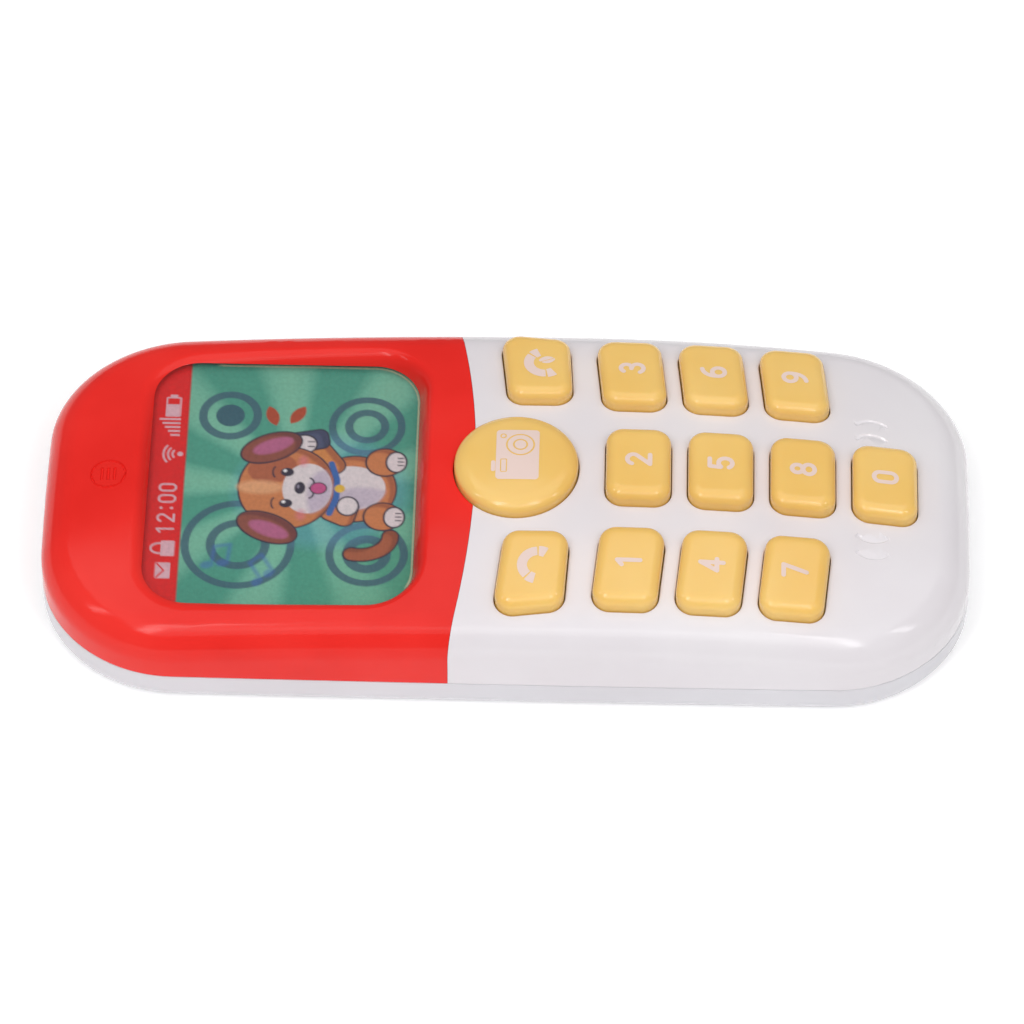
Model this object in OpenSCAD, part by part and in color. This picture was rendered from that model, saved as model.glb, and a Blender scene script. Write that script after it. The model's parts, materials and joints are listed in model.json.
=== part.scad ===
// Toy cell phone: a white two-part casing with a red top cover, a recessed picture screen,
// ten number keys, call and end keys, a round camera button, and the works inside.
// X runs across the phone, +Y points to the red top end, +Z points out of the screen.

/* [Casing] */
// Length from end to end
body_l = 160; // [156:1:166]
// Width across the middle
body_w = 71; // [70:0.5:76]
// Height of the face's highest point above the back
body_h = 21.3; // [20.8:0.1:22]
// Radius of the four corners of the outline
corner_r = 23; // [20:1:25]
// Thickness of the casing walls
wall = 2; // [1.8:0.1:2.2]
// Height of the parting line between the back shell and the front
part_z = 5.8; // [5:0.1:6.2]
// Radius of the rounded shoulder between face and side wall
shoulder_r = 5.6; // [5:0.1:6.5]
// Radius of the rounded edge of the back
back_edge_r = 2.5; // [1.5:0.25:3]

/* [Face] */
// Crown radius across the face
cross_r = 191; // [180:1:260]
// Crown radius along the face, from its crest to the top end
top_r = 900; // [800:10:1200]
// Crown radius along the face, from its crest to the key end
end_r = 349; // [340:1:500]
// Place of the crest along Y
crest_y = -15; // [-20:1:-10]

/* [Keys] */
// Size of a number key along Y
key_l = 11.2; // [10.8:0.1:11.4]
// Size of a number key along X
key_w = 15.6; // [15:0.1:16]
// Distance of the outer key columns from the middle
column_x = 21.6; // [21.4:0.1:22]
// Distance between rows
row_pitch = 14.15; // [14.1:0.05:14.3]
// Place of the first row in the middle column
row_y = -22.6; // [-23:0.1:-22.5]
// How far the outer columns sit towards the top end
outer_shift = 1.4; // [1:0.1:1.6]
// Height of the keys above the face
key_proud = 3; // [2.6:0.1:3.2]
// How far a key goes down
key_travel = 1; // [0.8:0.1:1]
// Gap round a key in its opening
key_gap = 0.3; // [0.25:0.05:0.35]
// Radius of the camera button
camera_r = 10.7; // [10.4:0.1:10.8]
// Place of the camera button along Y
camera_y = -1.6; // [-1.8:0.1:-1.4]

/* [Screen] */
// Size of the visible screen along X
screen_w = 54; // [52:0.5:55]
// Size of the visible screen along Y
screen_l = 46.4; // [45:0.1:47]
// Middle of the screen along Y
screen_y = 38.8; // [38.5:0.1:39]
// Corner radius of the visible screen
screen_corner_r = 8; // [7:0.5:9]
// Height of the lens's face above the back
lens_z = 15.8; // [15.4:0.1:16]
// Edge of the red cover on the middle line
cover_y = 5.4; // [5.2:0.1:5.8]

/* [Power] */
// Diameter of an AAA cell
cell_d = 10.5; // [10.5]
// Length of an AAA cell
cell_l = 44.5; // [44.5]
// Width of the battery door
door_w = 27.2; // [27.2:0.1:27.6]
// Thickness of the battery door
door_t = 1.6; // [1.6]

/* [Hidden] */

$fn = 48;
tiny = 0.01;
half_l = body_l / 2;
half_w = body_w / 2;
side_bow = 0.012;
end_bow = 0.010;
corner_n = 8;
side_n = 8;
end_n = 3;

cover_t = 1.8;
tray_gap = 0.1;
tray_t = 1.6;
seam = 0.06;
notch_gap = 0.3;
cover_curve = 0.003;
bevel_w = 1.4;
earpiece_y = 68.8;
marks_y = -62.8;
mark_r = 4;
tray_lap = 3;

flange_out = 1.2;
flange_t = 1;
flange_gap = 0.5;
cap_wall = 1.4;
cap_fillet = 1.7;
key_corner_r = 3;
lean = 0.096;
stem_r = 2.4;

board_z = 9.4;
board_t = 1;
mat_t = 0.6;
mat_z = board_z + board_t;
dome_r = 3.6;
post_r = 1.6;
post_x = 10.8;
posts = [[-post_x, -16.5], [post_x, -16.5], [-post_x, -58], [post_x, -58]];

casing_screw_at = [[-23, 67], [23, 67], [-28, 8.5], [28, 8.5], [-24, -67], [24, -67]];
boss_z = 8;
screw_seat_z = 5;

cell_x = 5.25 + 0.05;
cell_z = door_t + 0.2 + cell_d / 2;
box_in_w = 22.4;
box_y0 = 14.2;
box_y1 = 64.8;
box_wall = 1.2;
box_top = 12.4;
door_y0 = 5.8;
door_y1 = 66.3;
door_gap = 0.3;
door_corner_r = 3;
door_screw_y = 9.5;
door_boss_z = 9.1;
tab_x = 7;
tab_w = 5;
tab_y = 64.6;
tab_z = 2.3;
tab_t = 0.8;

speaker_y = -45;
speaker_r = 14;
switch_y = -8;
switch_x = 22;

// ---- shapes shared by the casing parts ----

function arc_pts(cx, cy, r, a0, n, sweep = 90) =
  [for (i = [0 : n - 1]) [cx + r * cos(a0 + sweep * i / n), cy + r * sin(a0 + sweep * i / n)]];
function run_pts(p, q, n) = [for (i = [0 : n - 1]) p + (q - p) * i / n];
function bowed(p) =
  [p[0] * (1 - side_bow * (p[1] / half_l) ^ 2), p[1] * (1 - end_bow * (p[0] / half_w) ^ 2)];

// Plan outline of the casing, moved inwards by inset
function outline(inset) =
  let (hx = half_w - corner_r, hy = half_l - corner_r, r = corner_r - inset)
  [for (p = concat(
    arc_pts(hx, hy, r, 0, corner_n), run_pts([hx, hy + r], [-hx, hy + r], end_n),
    arc_pts(-hx, hy, r, 90, corner_n), run_pts([-hx - r, hy], [-hx - r, -hy], side_n),
    arc_pts(-hx, -hy, r, 180, corner_n), run_pts([-hx, -hy - r], [hx, -hy - r], end_n),
    arc_pts(hx, -hy, r, 270, corner_n), run_pts([hx + r, -hy], [hx + r, hy], side_n)))
    bowed(p)];

// Height of the crowned face at a point
function crown(x, y) =
  body_h - x * x / (2 * cross_r) - (y - crest_y) ^ 2 / (2 * (y > crest_y ? top_r : end_r));

function flat_ring(pts, z) = [for (p = pts) [p[0], p[1], z]];
function crown_ring(pts, lift) = [for (p = pts) [p[0], p[1], crown(p[0], p[1]) + lift]];
function scaled(pts, s, c = [0, 0]) = [for (p = pts) c + (p - c) * s];

// Closed solid through rings of points, lowest first, each anticlockwise seen from above
module loft(rings, bottom, top) {
  n = len(rings[0]);
  last = (len(rings) - 1) * n;
  points = concat([for (ring = rings) each ring], [bottom, top]);
  sides = [for (k = [0 : len(rings) - 2], j = [0 : n - 1])
    let (a = k * n + j, b = k * n + (j + 1) % n) each [[a, a + n, b + n], [a, b + n, b]]];
  floor_fan = [for (j = [0 : n - 1]) [last + n, j, (j + 1) % n]];
  top_fan = [for (j = [0 : n - 1]) [last + n + 1, last + (j + 1) % n, last + j]];
  polyhedron(points, concat(sides, floor_fan, top_fan), convexity = 6);
}

// The front of the casing as a solid, moved inwards by inset, down to a height z0
module front_solid(inset, z0) {
  r = max(shoulder_r - inset, 1);
  shoulder = [for (a = [0 : 18 : 90]) crown_ring(outline(inset + r * (1 - cos(a))), -inset - r * (1 - sin(a)))];
  inner = [for (s = [0.75, 0.5, 0.25]) crown_ring(scaled(outline(inset + r), s), -inset)];
  loft(concat([flat_ring(outline(inset), z0)], shoulder, inner), [0, 0, z0], [0, 0, crown(0, 0) - inset]);
}

// The back of the casing as a solid, moved inwards by inset, up to a height z1
module back_solid(inset, z1) {
  r = max(back_edge_r - inset, 0.5);
  edge = [for (a = [0 : 18 : 90]) flat_ring(outline(inset + r * (1 - sin(a))), inset + r * (1 - cos(a)))];
  loft(concat(edge, [flat_ring(outline(inset), z1)]), [0, 0, inset], [0, 0, z1]);
}

// Region of the plan on the top-end side of the cover's edge, moved by shift along Y
module cover_region(shift) {
  edge = [for (x = [-40 : 4 : 40]) [x, cover_y + cover_curve * x * x + shift]];
  translate([0, 0, -1]) linear_extrude(body_h + 10)
    polygon(concat(edge, [[40, 100], [-40, 100]]));
}

module rounded_rect(w, l, r) {
  x = w / 2 - r;
  y = l / 2 - r;
  polygon(concat(arc_pts(x, y, r, 0, 8), [[x, y + r]], arc_pts(-x, y, r, 90, 8), [[-x - r, y]],
    arc_pts(-x, -y, r, 180, 8), [[-x, -y - r]], arc_pts(x, -y, r, 270, 8), [[x + r, -y]]));
}

module rounded_plate(w, l, r, z0, z1, y = 0) {
  translate([0, y, z0]) linear_extrude(z1 - z0) rounded_rect(w, l, r);
}

module block(x0, x1, y0, y1, z0, z1) {
  translate([x0, y0, z0]) cube([x1 - x0, y1 - y0, z1 - z0]);
}

// ---- keys ----

// Corner of a convex outline rounded to radius r, moved inwards by inset
function corner_arc(prev, p, next, r, inset, n = 4) =
  let (d1 = (p - prev) / norm(p - prev), d2 = (next - p) / norm(next - p),
    a1 = atan2(-d1[0], d1[1]), turn = acos(max(-1, min(1, d1 * d2))),
    inward = (d2 - d1) / norm(d2 - d1), c = p + inward * r / cos(turn / 2))
  [for (i = [0 : n]) c + (r - inset) * [cos(a1 + turn * i / n), sin(a1 + turn * i / n)]];
function rounded_poly(c, r, inset) =
  let (n = len(c)) [for (i = [0 : n - 1]) each corner_arc(c[(i + n - 1) % n], c[i], c[(i + 1) % n], r, inset)];

// Corners of a key in an outer column: o is the distance outwards from the column's middle
function column_pt(side, o, y) = [side * (column_x + o), y];
function swap_if(side, pts) = side > 0 ? pts : [for (i = [len(pts) - 1 : -1 : 0]) pts[i]];
function number_corners(side, y) = side == 0
  ? [[key_w / 2, y - key_l / 2], [key_w / 2, y + key_l / 2], [-key_w / 2, y + key_l / 2], [-key_w / 2, y - key_l / 2]]
  : let (o = key_w / 2, h = key_l / 2) swap_if(side, [
    column_pt(side, -o, y - h - lean * o), column_pt(side, o, y - h + lean * o),
    column_pt(side, o, y + h + lean * o), column_pt(side, -o, y + h - lean * o)]);
// Call and end keys: the edge by the cover leans more than the edge by the number keys
function talk_corners(side) = swap_if(side, [
  column_pt(side, -6.7, -11.1), column_pt(side, 7.9, -10.25),
  column_pt(side, 9.3, 1.8), column_pt(side, -6.7, 0.1)]);

function number_side(n) = n == 0 ? 0 : ((n - 1) % 3) - 1;
function number_y(n) =
  let (row = n == 0 ? 3 : floor((n - 1) / 3)) row_y - row * row_pitch + abs(number_side(n)) * outer_shift;
function centre(c) = [for (k = [0, 1]) (c[0][k] + c[1][k] + c[2][k] + c[3][k]) / 4];
function camera_pts(r) = arc_pts(0, camera_y, r, 0, 48, 360);
function key_pts(corners, inset) =
  len(corners) == 0 ? camera_pts(camera_r - inset) : rounded_poly(corners, key_corner_r, inset);
function key_centre(corners) = len(corners) == 0 ? [0, camera_y] : centre(corners);

// Depth of a key's flange top under the face
function flange_top(corners) =
  -(len(corners) == 0 ? cover_t + tray_gap + tray_t : wall) - flange_gap;

module key(corners) {
  c = key_centre(corners);
  lo = flange_top(corners) - flange_t;
  cz = crown(c[0], c[1]);
  fillet = [for (a = [0 : 22.5 : 90])
    crown_ring(key_pts(corners, cap_fillet * (1 - cos(a))), key_proud - cap_fillet * (1 - sin(a)))];
  top_in = scaled(key_pts(corners, cap_fillet), 0.5, c);
  difference() {
    union() {
      loft(concat([crown_ring(key_pts(corners, 0), lo)], fillet, [crown_ring(top_in, key_proud)]),
        [c[0], c[1], cz + lo], [c[0], c[1], cz + key_proud]);
      loft([crown_ring(key_pts(corners, -flange_out), lo), crown_ring(key_pts(corners, -flange_out), lo + flange_t)],
        [c[0], c[1], cz + lo], [c[0], c[1], cz + lo + flange_t]);
    }
    loft([crown_ring(key_pts(corners, cap_wall), lo - 1), crown_ring(key_pts(corners, cap_wall), key_proud - 1.6)],
      [c[0], c[1], cz + lo - 1], [c[0], c[1], cz + key_proud - 1.6]);
  }
  translate([c[0], c[1], cz + lo]) cylinder(r = stem_r, h = key_proud - lo - 1.4, $fn = 24);
}

module key_hole(corners, z0) {
  translate([0, 0, z0]) linear_extrude(body_h) polygon(key_pts(corners, -key_gap));
}

module number_key(n) { color("#f3c873") key(number_corners(number_side(n), number_y(n))); }

ALL_KEYS = concat([for (n = [0 : 9]) number_corners(number_side(n), number_y(n))],
  [talk_corners(-1), talk_corners(1), []]);

// ---- casing ----

module screw_boss_hole(p) {
  translate([p[0], p[1], -1]) cylinder(d = 5.6, h = screw_seat_z + 1);
  translate([p[0], p[1], -1]) cylinder(d = 2.8, h = boss_z + 2);
}

module battery_box() {
  w = box_in_w / 2 + box_wall;
  difference() {
    union() {
      block(-w, w, box_y0 - box_wall, box_y1 + box_wall, door_t + 0.2, box_top + 0.6);
      block(-15.5, 15.5, door_y0 - 2, 69.6, door_t + 0.2, 2.8);
      block(-3.25, 3.25, door_screw_y, box_y0, 3.4, door_boss_z);
      translate([0, door_screw_y, 3.4]) cylinder(d = 6.5, h = door_boss_z - 3.4);
      block(-15.5, 15.5, door_screw_y - 0.6, door_screw_y + 0.6, 2.6, 5);
    }
    block(-box_in_w / 2, box_in_w / 2, box_y0, box_y1, 0, box_top);
    block(-4.6, 4.6, door_y0, door_screw_y + 3.3, 0, 3.4);
    translate([0, door_screw_y, 3]) cylinder(d = 3.4, h = 6);
    for (s = [-1, 1]) block(s * tab_x - 3, s * tab_x + 3, 62, 71, door_t, 4.8);
    for (s = [-1, 1]) block(s * cell_x - 2, s * cell_x + 2, box_y0 - 3, box_y0 + 1, 8, 9.2);
  }
}

module grille(z0, h) {
  for (ring = [0 : 2], i = [0 : max(ring * 6, 1) - 1])
    translate([ring * 4 * cos(60 * i / max(ring, 1)), speaker_y + ring * 4 * sin(60 * i / max(ring, 1)), z0])
      cylinder(d = 2, h = h, $fn = 20);
}

module back_shell() {
  color("#e9e6e8") {
    difference() {
      union() {
        difference() {
          back_solid(0, part_z);
          back_solid(wall, part_z + 1);
        }
        for (p = casing_screw_at) translate([p[0], p[1], 1]) cylinder(d = 7.6, h = boss_z - 1);
        difference() {
          translate([0, speaker_y, 1]) cylinder(r = speaker_r + 1.5, h = 3.6);
          translate([0, speaker_y, 0]) cylinder(r = speaker_r + 0.3, h = 6);
        }
        difference() {
          translate([0, 0, 3]) linear_extrude(part_z - 1.4) polygon(outline(wall - tiny));
          translate([0, 0, 2]) linear_extrude(part_z + 4) polygon(outline(wall + 1));
          difference() {
            translate([0, 0, part_z]) linear_extrude(5) polygon(outline(0));
            translate([0, 0, part_z - 1]) linear_extrude(7) polygon(outline(wall + 0.2));
          }
        }
        for (s = [-1, 1]) block(switch_x - 0.6 + s * 5.2, switch_x + 0.6 + s * 5.2, switch_y - 3, switch_y + 3, 1, 5);
        for (s = [-1, 1], y = [30, 50]) translate([s * 19, y, 1]) cylinder(d = 3, h = 8);
      }
      for (p = casing_screw_at) screw_boss_hole(p);
      rounded_plate(door_w + 2 * door_gap, door_y1 - door_y0 + 2 * door_gap, door_corner_r, -1, door_t + 0.2, (door_y0 + door_y1) / 2);
      block(0.5 - door_w / 2, door_w / 2 - 0.5, door_y0 + 0.5, door_y1 - 0.5, -1, wall + 1);
      grille(-1, 4);
      block(switch_x - 3.4, switch_x + 3.4, switch_y - 1.4, switch_y + 1.4, -1, 3);
    }
    battery_box();
  }
}

module front_shell() {
  color("#e4dfe2") difference() {
    union() {
      difference() {
        front_solid(0, part_z);
        front_solid(wall, part_z - 1);
        cover_region(-tiny);
      }
      intersection() {
        difference() {
          front_solid(cover_t + tray_gap, part_z + 2);
          union() {
            front_solid(cover_t + tray_gap + tray_t, part_z - 1);
            rounded_plate(61.4, 53.8, 11, 5, 30, screen_y);
          }
        }
        cover_region(-tray_lap);
      }
      intersection() {
        union() {
          for (p = posts) translate([p[0], p[1], mat_z]) cylinder(r = post_r, h = body_h);
          for (p = casing_screw_at) translate([p[0], p[1], boss_z + 0.1]) cylinder(d = 5.8, h = body_h);
          screen_seat();
        }
        front_solid(wall - tiny, part_z);
      }
    }
    for (k = ALL_KEYS) key_hole(k, 3);
    for (p = posts) translate([p[0], p[1], mat_z - 1]) cylinder(d = 1.8, h = 5);
    for (p = casing_screw_at) translate([p[0], p[1], boss_z - 1]) cylinder(d = 2.4, h = 7);
    speaker_marks();
  }
}

// Shallow sound marks in the face, two arcs on each side of the 0 key
module speaker_marks() {
  for (s = [-1, 1], x = [7.8, 11.2]) intersection() {
    translate([s * x, marks_y, crown(x + mark_r, marks_y) - 0.25]) difference() {
      cylinder(r = mark_r + 0.3, h = 4);
      translate([0, 0, -1]) cylinder(r = mark_r - 0.3, h = 6);
    }
    block(min(s * (x + 2.9), s * (x + 5)), max(s * (x + 2.9), s * (x + 5)), marks_y - 3, marks_y + 3, 0, 30);
  }
}

// Pocket that holds the lens, the picture and the light guide, with a ledge on both sides
module screen_seat() {
  difference() {
    rounded_plate(62.6, 55, 11.5, box_top + 0.7, body_h, screen_y);
    rounded_plate(57.4, 49.8, 9.5, 11, 30, screen_y);
    rounded_plate(59.6, 52, 10.8, lens_z, 30, screen_y);
  }
  for (s = [-1, 1]) {
    block(min(s * 25, s * 30), max(s * 25, s * 30), 24, 53, 12, 12.95);
    block(min(s * 28.7, s * 30), max(s * 28.7, s * 30), 24, 53, 12.5, 14);
  }
}

module top_cover() {
  rim_top = body_h + 1;
  color("#f03c37") difference() {
    union() {
      intersection() {
        difference() {
          front_solid(0, part_z);
          front_solid(cover_t, part_z - 1);
        }
        cover_region(seam);
      }
      intersection() {
        rounded_plate(screen_w + 5, screen_l + 5, screen_corner_r + 2.5, lens_z + 0.05, rim_top, screen_y);
        front_solid(tiny, 0);
      }
    }
    loft([flat_ring(screen_pts(-1), lens_z - 1), flat_ring(screen_pts(0), lens_z),
      flat_ring(screen_pts(bevel_w), lens_z + 2.6), flat_ring(screen_pts(bevel_w + 0.6), rim_top)],
      [0, screen_y, lens_z - 1], [0, screen_y, rim_top]);
    rounded_plate(57.4, 49.8, 9.5, part_z, lens_z + 0.05, screen_y);
    translate([0, camera_y, 0]) cylinder(r = camera_r + notch_gap, h = 30, $fn = 96);
    translate([0, earpiece_y, crown(0, earpiece_y) - 0.6]) earpiece(3.1);
  }
}

function rounded_pts(w, l, r, cy) =
  let (x = w / 2 - r, y = l / 2 - r) concat(arc_pts(x, cy + y, r, 0, 8), arc_pts(-x, cy + y, r, 90, 8),
    arc_pts(-x, cy - y, r, 180, 8), arc_pts(x, cy - y, r, 270, 8));
function screen_pts(out) = rounded_pts(screen_w + 2 * out, screen_l + 2 * out, screen_corner_r + out, screen_y);

// Round earpiece mark above the screen: a shallow ring with three short slots
module earpiece(r) {
  difference() {
    cylinder(r = r, h = 3);
    translate([0, 0, -1]) cylinder(r = r - 0.35, h = 5);
  }
  for (y = [-1.1, 0, 1.1]) translate([-1.4, y - 0.2, 0]) cube([2.8, 0.4, 3]);
}

module battery_door() {
  color("#e9e6e8") difference() {
    union() {
      rounded_plate(door_w, door_y1 - door_y0, door_corner_r - door_gap, 0, door_t, (door_y0 + door_y1) / 2);
      block(-4, 4, door_y0 + 0.6, door_screw_y + 2.6, door_t - tiny, 3);
      for (s = [-1, 1]) {
        block(s * tab_x - tab_w / 2, s * tab_x + tab_w / 2, tab_y, 65.4, door_t - tiny, tab_z + tab_t);
        block(s * tab_x - tab_w / 2, s * tab_x + tab_w / 2, tab_y, 69, tab_z, tab_z + tab_t);
      }
    }
    translate([0, door_screw_y, -1]) cylinder(d = 5.8, h = 2.6);
    translate([0, door_screw_y, -1]) cylinder(d = 2.8, h = 6);
    for (y = [-2 : 2]) block(-5, 5, 16 + y * 1.6 - 0.35, 16 + y * 1.6 + 0.35, -1, 0.4);
  }
}

// Pan head screw standing on its head: shank up from z0
module screw(p, z0, head_d, head_h, shank_d, shank_l) {
  translate([p[0], p[1], z0]) difference() {
    union() {
      cylinder(d = head_d, h = head_h);
      cylinder(d = shank_d, h = head_h + shank_l);
    }
    for (a = [0, 90]) rotate([0, 0, a]) translate([-head_d * 0.3, -0.3, -1]) cube([head_d * 0.6, 0.6, 1.8]);
  }
}

module battery_door_screw() { color("#9a9da2") screw([0, door_screw_y], 0.3, 5.2, 1.25, 2.3, 5.4); }
module casing_screws() { color("#9a9da2") for (p = casing_screw_at) screw(p, screw_seat_z - 1.6, 5, 1.6, 2.3, 8); }
module board_screws() { color("#9a9da2") for (p = posts) screw(p, board_z - 1.2, 3.6, 1.2, 1.7, 5); }

// ---- screen stack ----

module screen_lens() { color([0.85, 0.95, 0.95, 0.4]) rounded_plate(57, 49.4, 9.3, 14.5, lens_z, screen_y); }
module screen_print() { color("#50968a") rounded_plate(56.8, 49.2, 9.2, 14.2, 14.5, screen_y); }
module light_guide() { color("#f4f4f0") rounded_plate(56.8, 49.2, 9.2, 13.1, 14.2, screen_y); }
module led_boards() {
  color("#1f6b3a") for (s = [-1, 1]) block(s * 19 - 3, s * 19 + 3, 26, 54, 9, 10);
}
module leds() {
  color("#fff6d8") for (s = [-1, 1], y = [32, 40, 48]) {
    translate([s * 19, y, 10]) cylinder(d = 3, h = 1.2, $fn = 32);
    block(s * 19 - 1.8, s * 19 + 1.8, y - 1.8, y + 1.8, 10, 10.6);
  }
}

// ---- board and keypad ----

module board_outline(inset) {
  polygon([[-29.5 + inset, -60 + inset], [-17 + inset, -60 + inset], [-17 + inset, -73 + inset],
    [17 - inset, -73 + inset], [17 - inset, -60 + inset], [29.5 - inset, -60 + inset], [29.5 - inset, 3 - inset],
    [22 - inset, 3 - inset], [22 - inset, 10 - inset], [-22 + inset, 10 - inset], [-22 + inset, 3 - inset],
    [-29.5 + inset, 3 - inset]]);
}
module circuit_board() {
  color("#1f6b3a") translate([0, 0, board_z]) linear_extrude(board_t) difference() {
    board_outline(0);
    for (p = posts) translate(p) circle(d = 2);
  }
}
module sound_chip() {
  color("#1a1a1c") translate([0, -22, board_z - 1.8]) cylinder(r1 = 4.2, r2 = 5.5, h = 1.8);
}
module board_components() {
  color("#3a3a3e") {
    for (i = [0 : 5]) block(-25 + i * 3.2, -23.4 + i * 3.2, -8, -7.2, board_z - 0.6, board_z);
    for (i = [0 : 3]) block(14 + i * 3.2, 15.6 + i * 3.2, -30, -28.8, board_z - 0.8, board_z);
    translate([20, -14, board_z - 4.4]) cylinder(d = 5, h = 4.4, $fn = 32);
    block(-26, -22, -32, -28, board_z - 1.5, board_z);
  }
}
module keypad_mat() {
  color("#d8d8dc") difference() {
    union() {
      translate([0, 0, mat_z]) linear_extrude(mat_t) board_outline(0.6);
      for (k = ALL_KEYS) {
        c = key_centre(k);
        foot_z = crown(c[0], c[1]) + flange_top(k) - flange_t;
        translate([c[0], c[1], mat_z]) cylinder(r1 = dome_r, r2 = stem_r, h = foot_z - mat_z, $fn = 32);
      }
    }
    for (p = posts) translate([p[0], p[1], mat_z - 1]) cylinder(r = post_r + 0.15, h = 4);
  }
}

module key_0() { number_key(0); }
module key_1() { number_key(1); }
module key_2() { number_key(2); }
module key_3() { number_key(3); }
module key_4() { number_key(4); }
module key_5() { number_key(5); }
module key_6() { number_key(6); }
module key_7() { number_key(7); }
module key_8() { number_key(8); }
module key_9() { number_key(9); }
module key_call() { color("#f3c873") key(talk_corners(-1)); }
module key_end() { color("#f3c873") key(talk_corners(1)); }
module key_camera() { color("#f3c873") key([]); }

// ---- speaker ----

module speaker_frame() {
  color("#5b5e63") translate([0, speaker_y, 2.1]) difference() {
    union() {
      cylinder(r = speaker_r, h = 1.2);
      translate([0, 0, 1.2]) cylinder(r1 = speaker_r - 0.6, r2 = 8.6, h = 2.4);
      translate([0, 0, 3.6]) cylinder(r = 8.6, h = 0.6);
    }
    translate([0, 0, -1]) cylinder(r = speaker_r - 1.6, h = 2);
    translate([0, 0, 1 - tiny]) cylinder(r1 = speaker_r - 1.6, r2 = 7.4, h = 2.2);
  }
}
module speaker_cone() {
  color("#cfcabd") translate([0, speaker_y, 2.3]) rotate_extrude()
    polygon([[0, 1.5], [3.6, 1.9], [4, 2.3], [11.4, 0.5], [12.2, 0.5], [12.2, 0.2], [11.2, 0.2], [4, 1.9], [3, 1.3], [0, 1.1]]);
}
module speaker_magnet() { color("#8b8e93") translate([0, speaker_y, 6.3]) cylinder(r = 7.5, h = 1.6); }

// ---- power ----

module battery_contacts() {
  color("#b9bbbf") for (s = [-1, 1]) {
    block(s * cell_x - 4, s * cell_x + 4, box_y1 - 0.5, box_y1 - 0.1, 5.2, 11.6);
    block(s * cell_x - 4, s * cell_x + 4, box_y0 + 0.1, box_y0 + 0.5, 3, 11.6);
  }
}
// End of the box that holds cell number i's spring
function spring_end(i) = i == 0 ? -1 : 1;
module battery_springs() {
  turns = 3;
  per_turn = 10;
  color("#b9bbbf") for (i = [0, 1]) translate([(2 * i - 1) * cell_x, 0, cell_z]) {
    y_plate = spring_end(i) < 0 ? box_y0 + 0.5 : box_y1 - 0.5;
    translate([0, y_plate, 0]) rotate([90 * spring_end(i), 0, 0])
      for (t = [0 : turns * 2 - 1]) translate([0, 0, 0.45 + t * 0.62])
        rotate_extrude($fn = 24) translate([3.3 - t * 0.25, 0]) circle(r = 0.32, $fn = 13);
  }
}
module cell(i) {
  dir = -spring_end(i);
  y_plus = dir > 0 ? box_y1 - 0.55 : box_y0 + 0.55;
  color("#3f6fb0") translate([(2 * i - 1) * cell_x, y_plus, cell_z]) rotate([90 * dir, 0, 0]) {
    cylinder(d = 3.8, h = 1.2);
    translate([0, 0, 1]) cylinder(d = cell_d - 0.3, h = cell_l - 1);
  }
}
module battery_1() { cell(0); }
module battery_2() { cell(1); }

module switch_body() {
  color("#b9bbbf") difference() {
    block(switch_x - 4.3, switch_x + 4.3, switch_y - 2.2, switch_y + 2.2, 2.3, 6);
    block(switch_x - 3.3, switch_x + 3.3, switch_y - 1.3, switch_y + 1.3, 0, 4.4);
  }
}
module switch_knob() {
  color("#2b2b2e") block(switch_x - 2.8, switch_x - 0.4, switch_y - 1.1, switch_y + 1.1, 0.6, 4.1);
}

// Tube of 8 sides through a list of points
function dir_at(p, i) =
  let (a = p[max(i - 1, 0)], b = p[min(i + 1, len(p) - 1)]) (b - a) / norm(b - a);
module wire(p, r) {
  sides = 8;
  rings = [for (i = [0 : len(p) - 1]) let (d = dir_at(p, i), u = cross(d, [0, 0, 1]) / norm(cross(d, [0, 0, 1])), v = cross(u, d))
    [for (k = [0 : sides - 1]) p[i] + r * (cos(360 * k / sides) * u + sin(360 * k / sides) * v)]];
  loft(rings, p[0], p[len(p) - 1]);
}
module speaker_wires() {
  for (s = [-1, 1]) color(s < 0 ? "#b02020" : "#202020")
    wire([[s * 1.2, -35, 6.9], [s * 1.6, -33.5, 7.2], [s * 2, -32, 7.6], [s * 2.2, -30.5, 8.1], [s * 2.3, -29.4, 8.6], [s * 2.3, -28.6, 8.8]], 0.5);
}
module battery_wires() {
  for (s = [-1, 1]) color(s < 0 ? "#b02020" : "#202020")
    wire([[s * cell_x, 13, 8.6], [s * cell_x, 12, 8.7], [s * (cell_x + 0.6), 10.6, 8.8], [s * (cell_x + 1.4), 9, 8.8],
      [s * (cell_x + 2), 7, 8.8], [s * (cell_x + 2.2), 5.4, 8.8], [s * (cell_x + 2.2), 4.6, 8.8]], 0.5);
}

back_shell();
front_shell();
top_cover();
battery_door();
battery_door_screw();
casing_screws();
screen_lens();
screen_print();
light_guide();
led_boards();
leds();
circuit_board();
sound_chip();
board_components();
board_screws();
keypad_mat();
key_0();
key_1();
key_2();
key_3();
key_4();
key_5();
key_6();
key_7();
key_8();
key_9();
key_call();
key_end();
key_camera();
speaker_frame();
speaker_cone();
speaker_magnet();
battery_contacts();
battery_springs();
battery_1();
battery_2();
switch_body();
switch_knob();
speaker_wires();
battery_wires();
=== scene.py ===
"""Looks of the toy cell phone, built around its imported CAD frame. Sizes are millimetres unless said."""

import json
import math

import bmesh
import bpy
import numpy as np
from mathutils import Matrix, Vector
from mathutils.geometry import delaunay_2d_cdt

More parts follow.
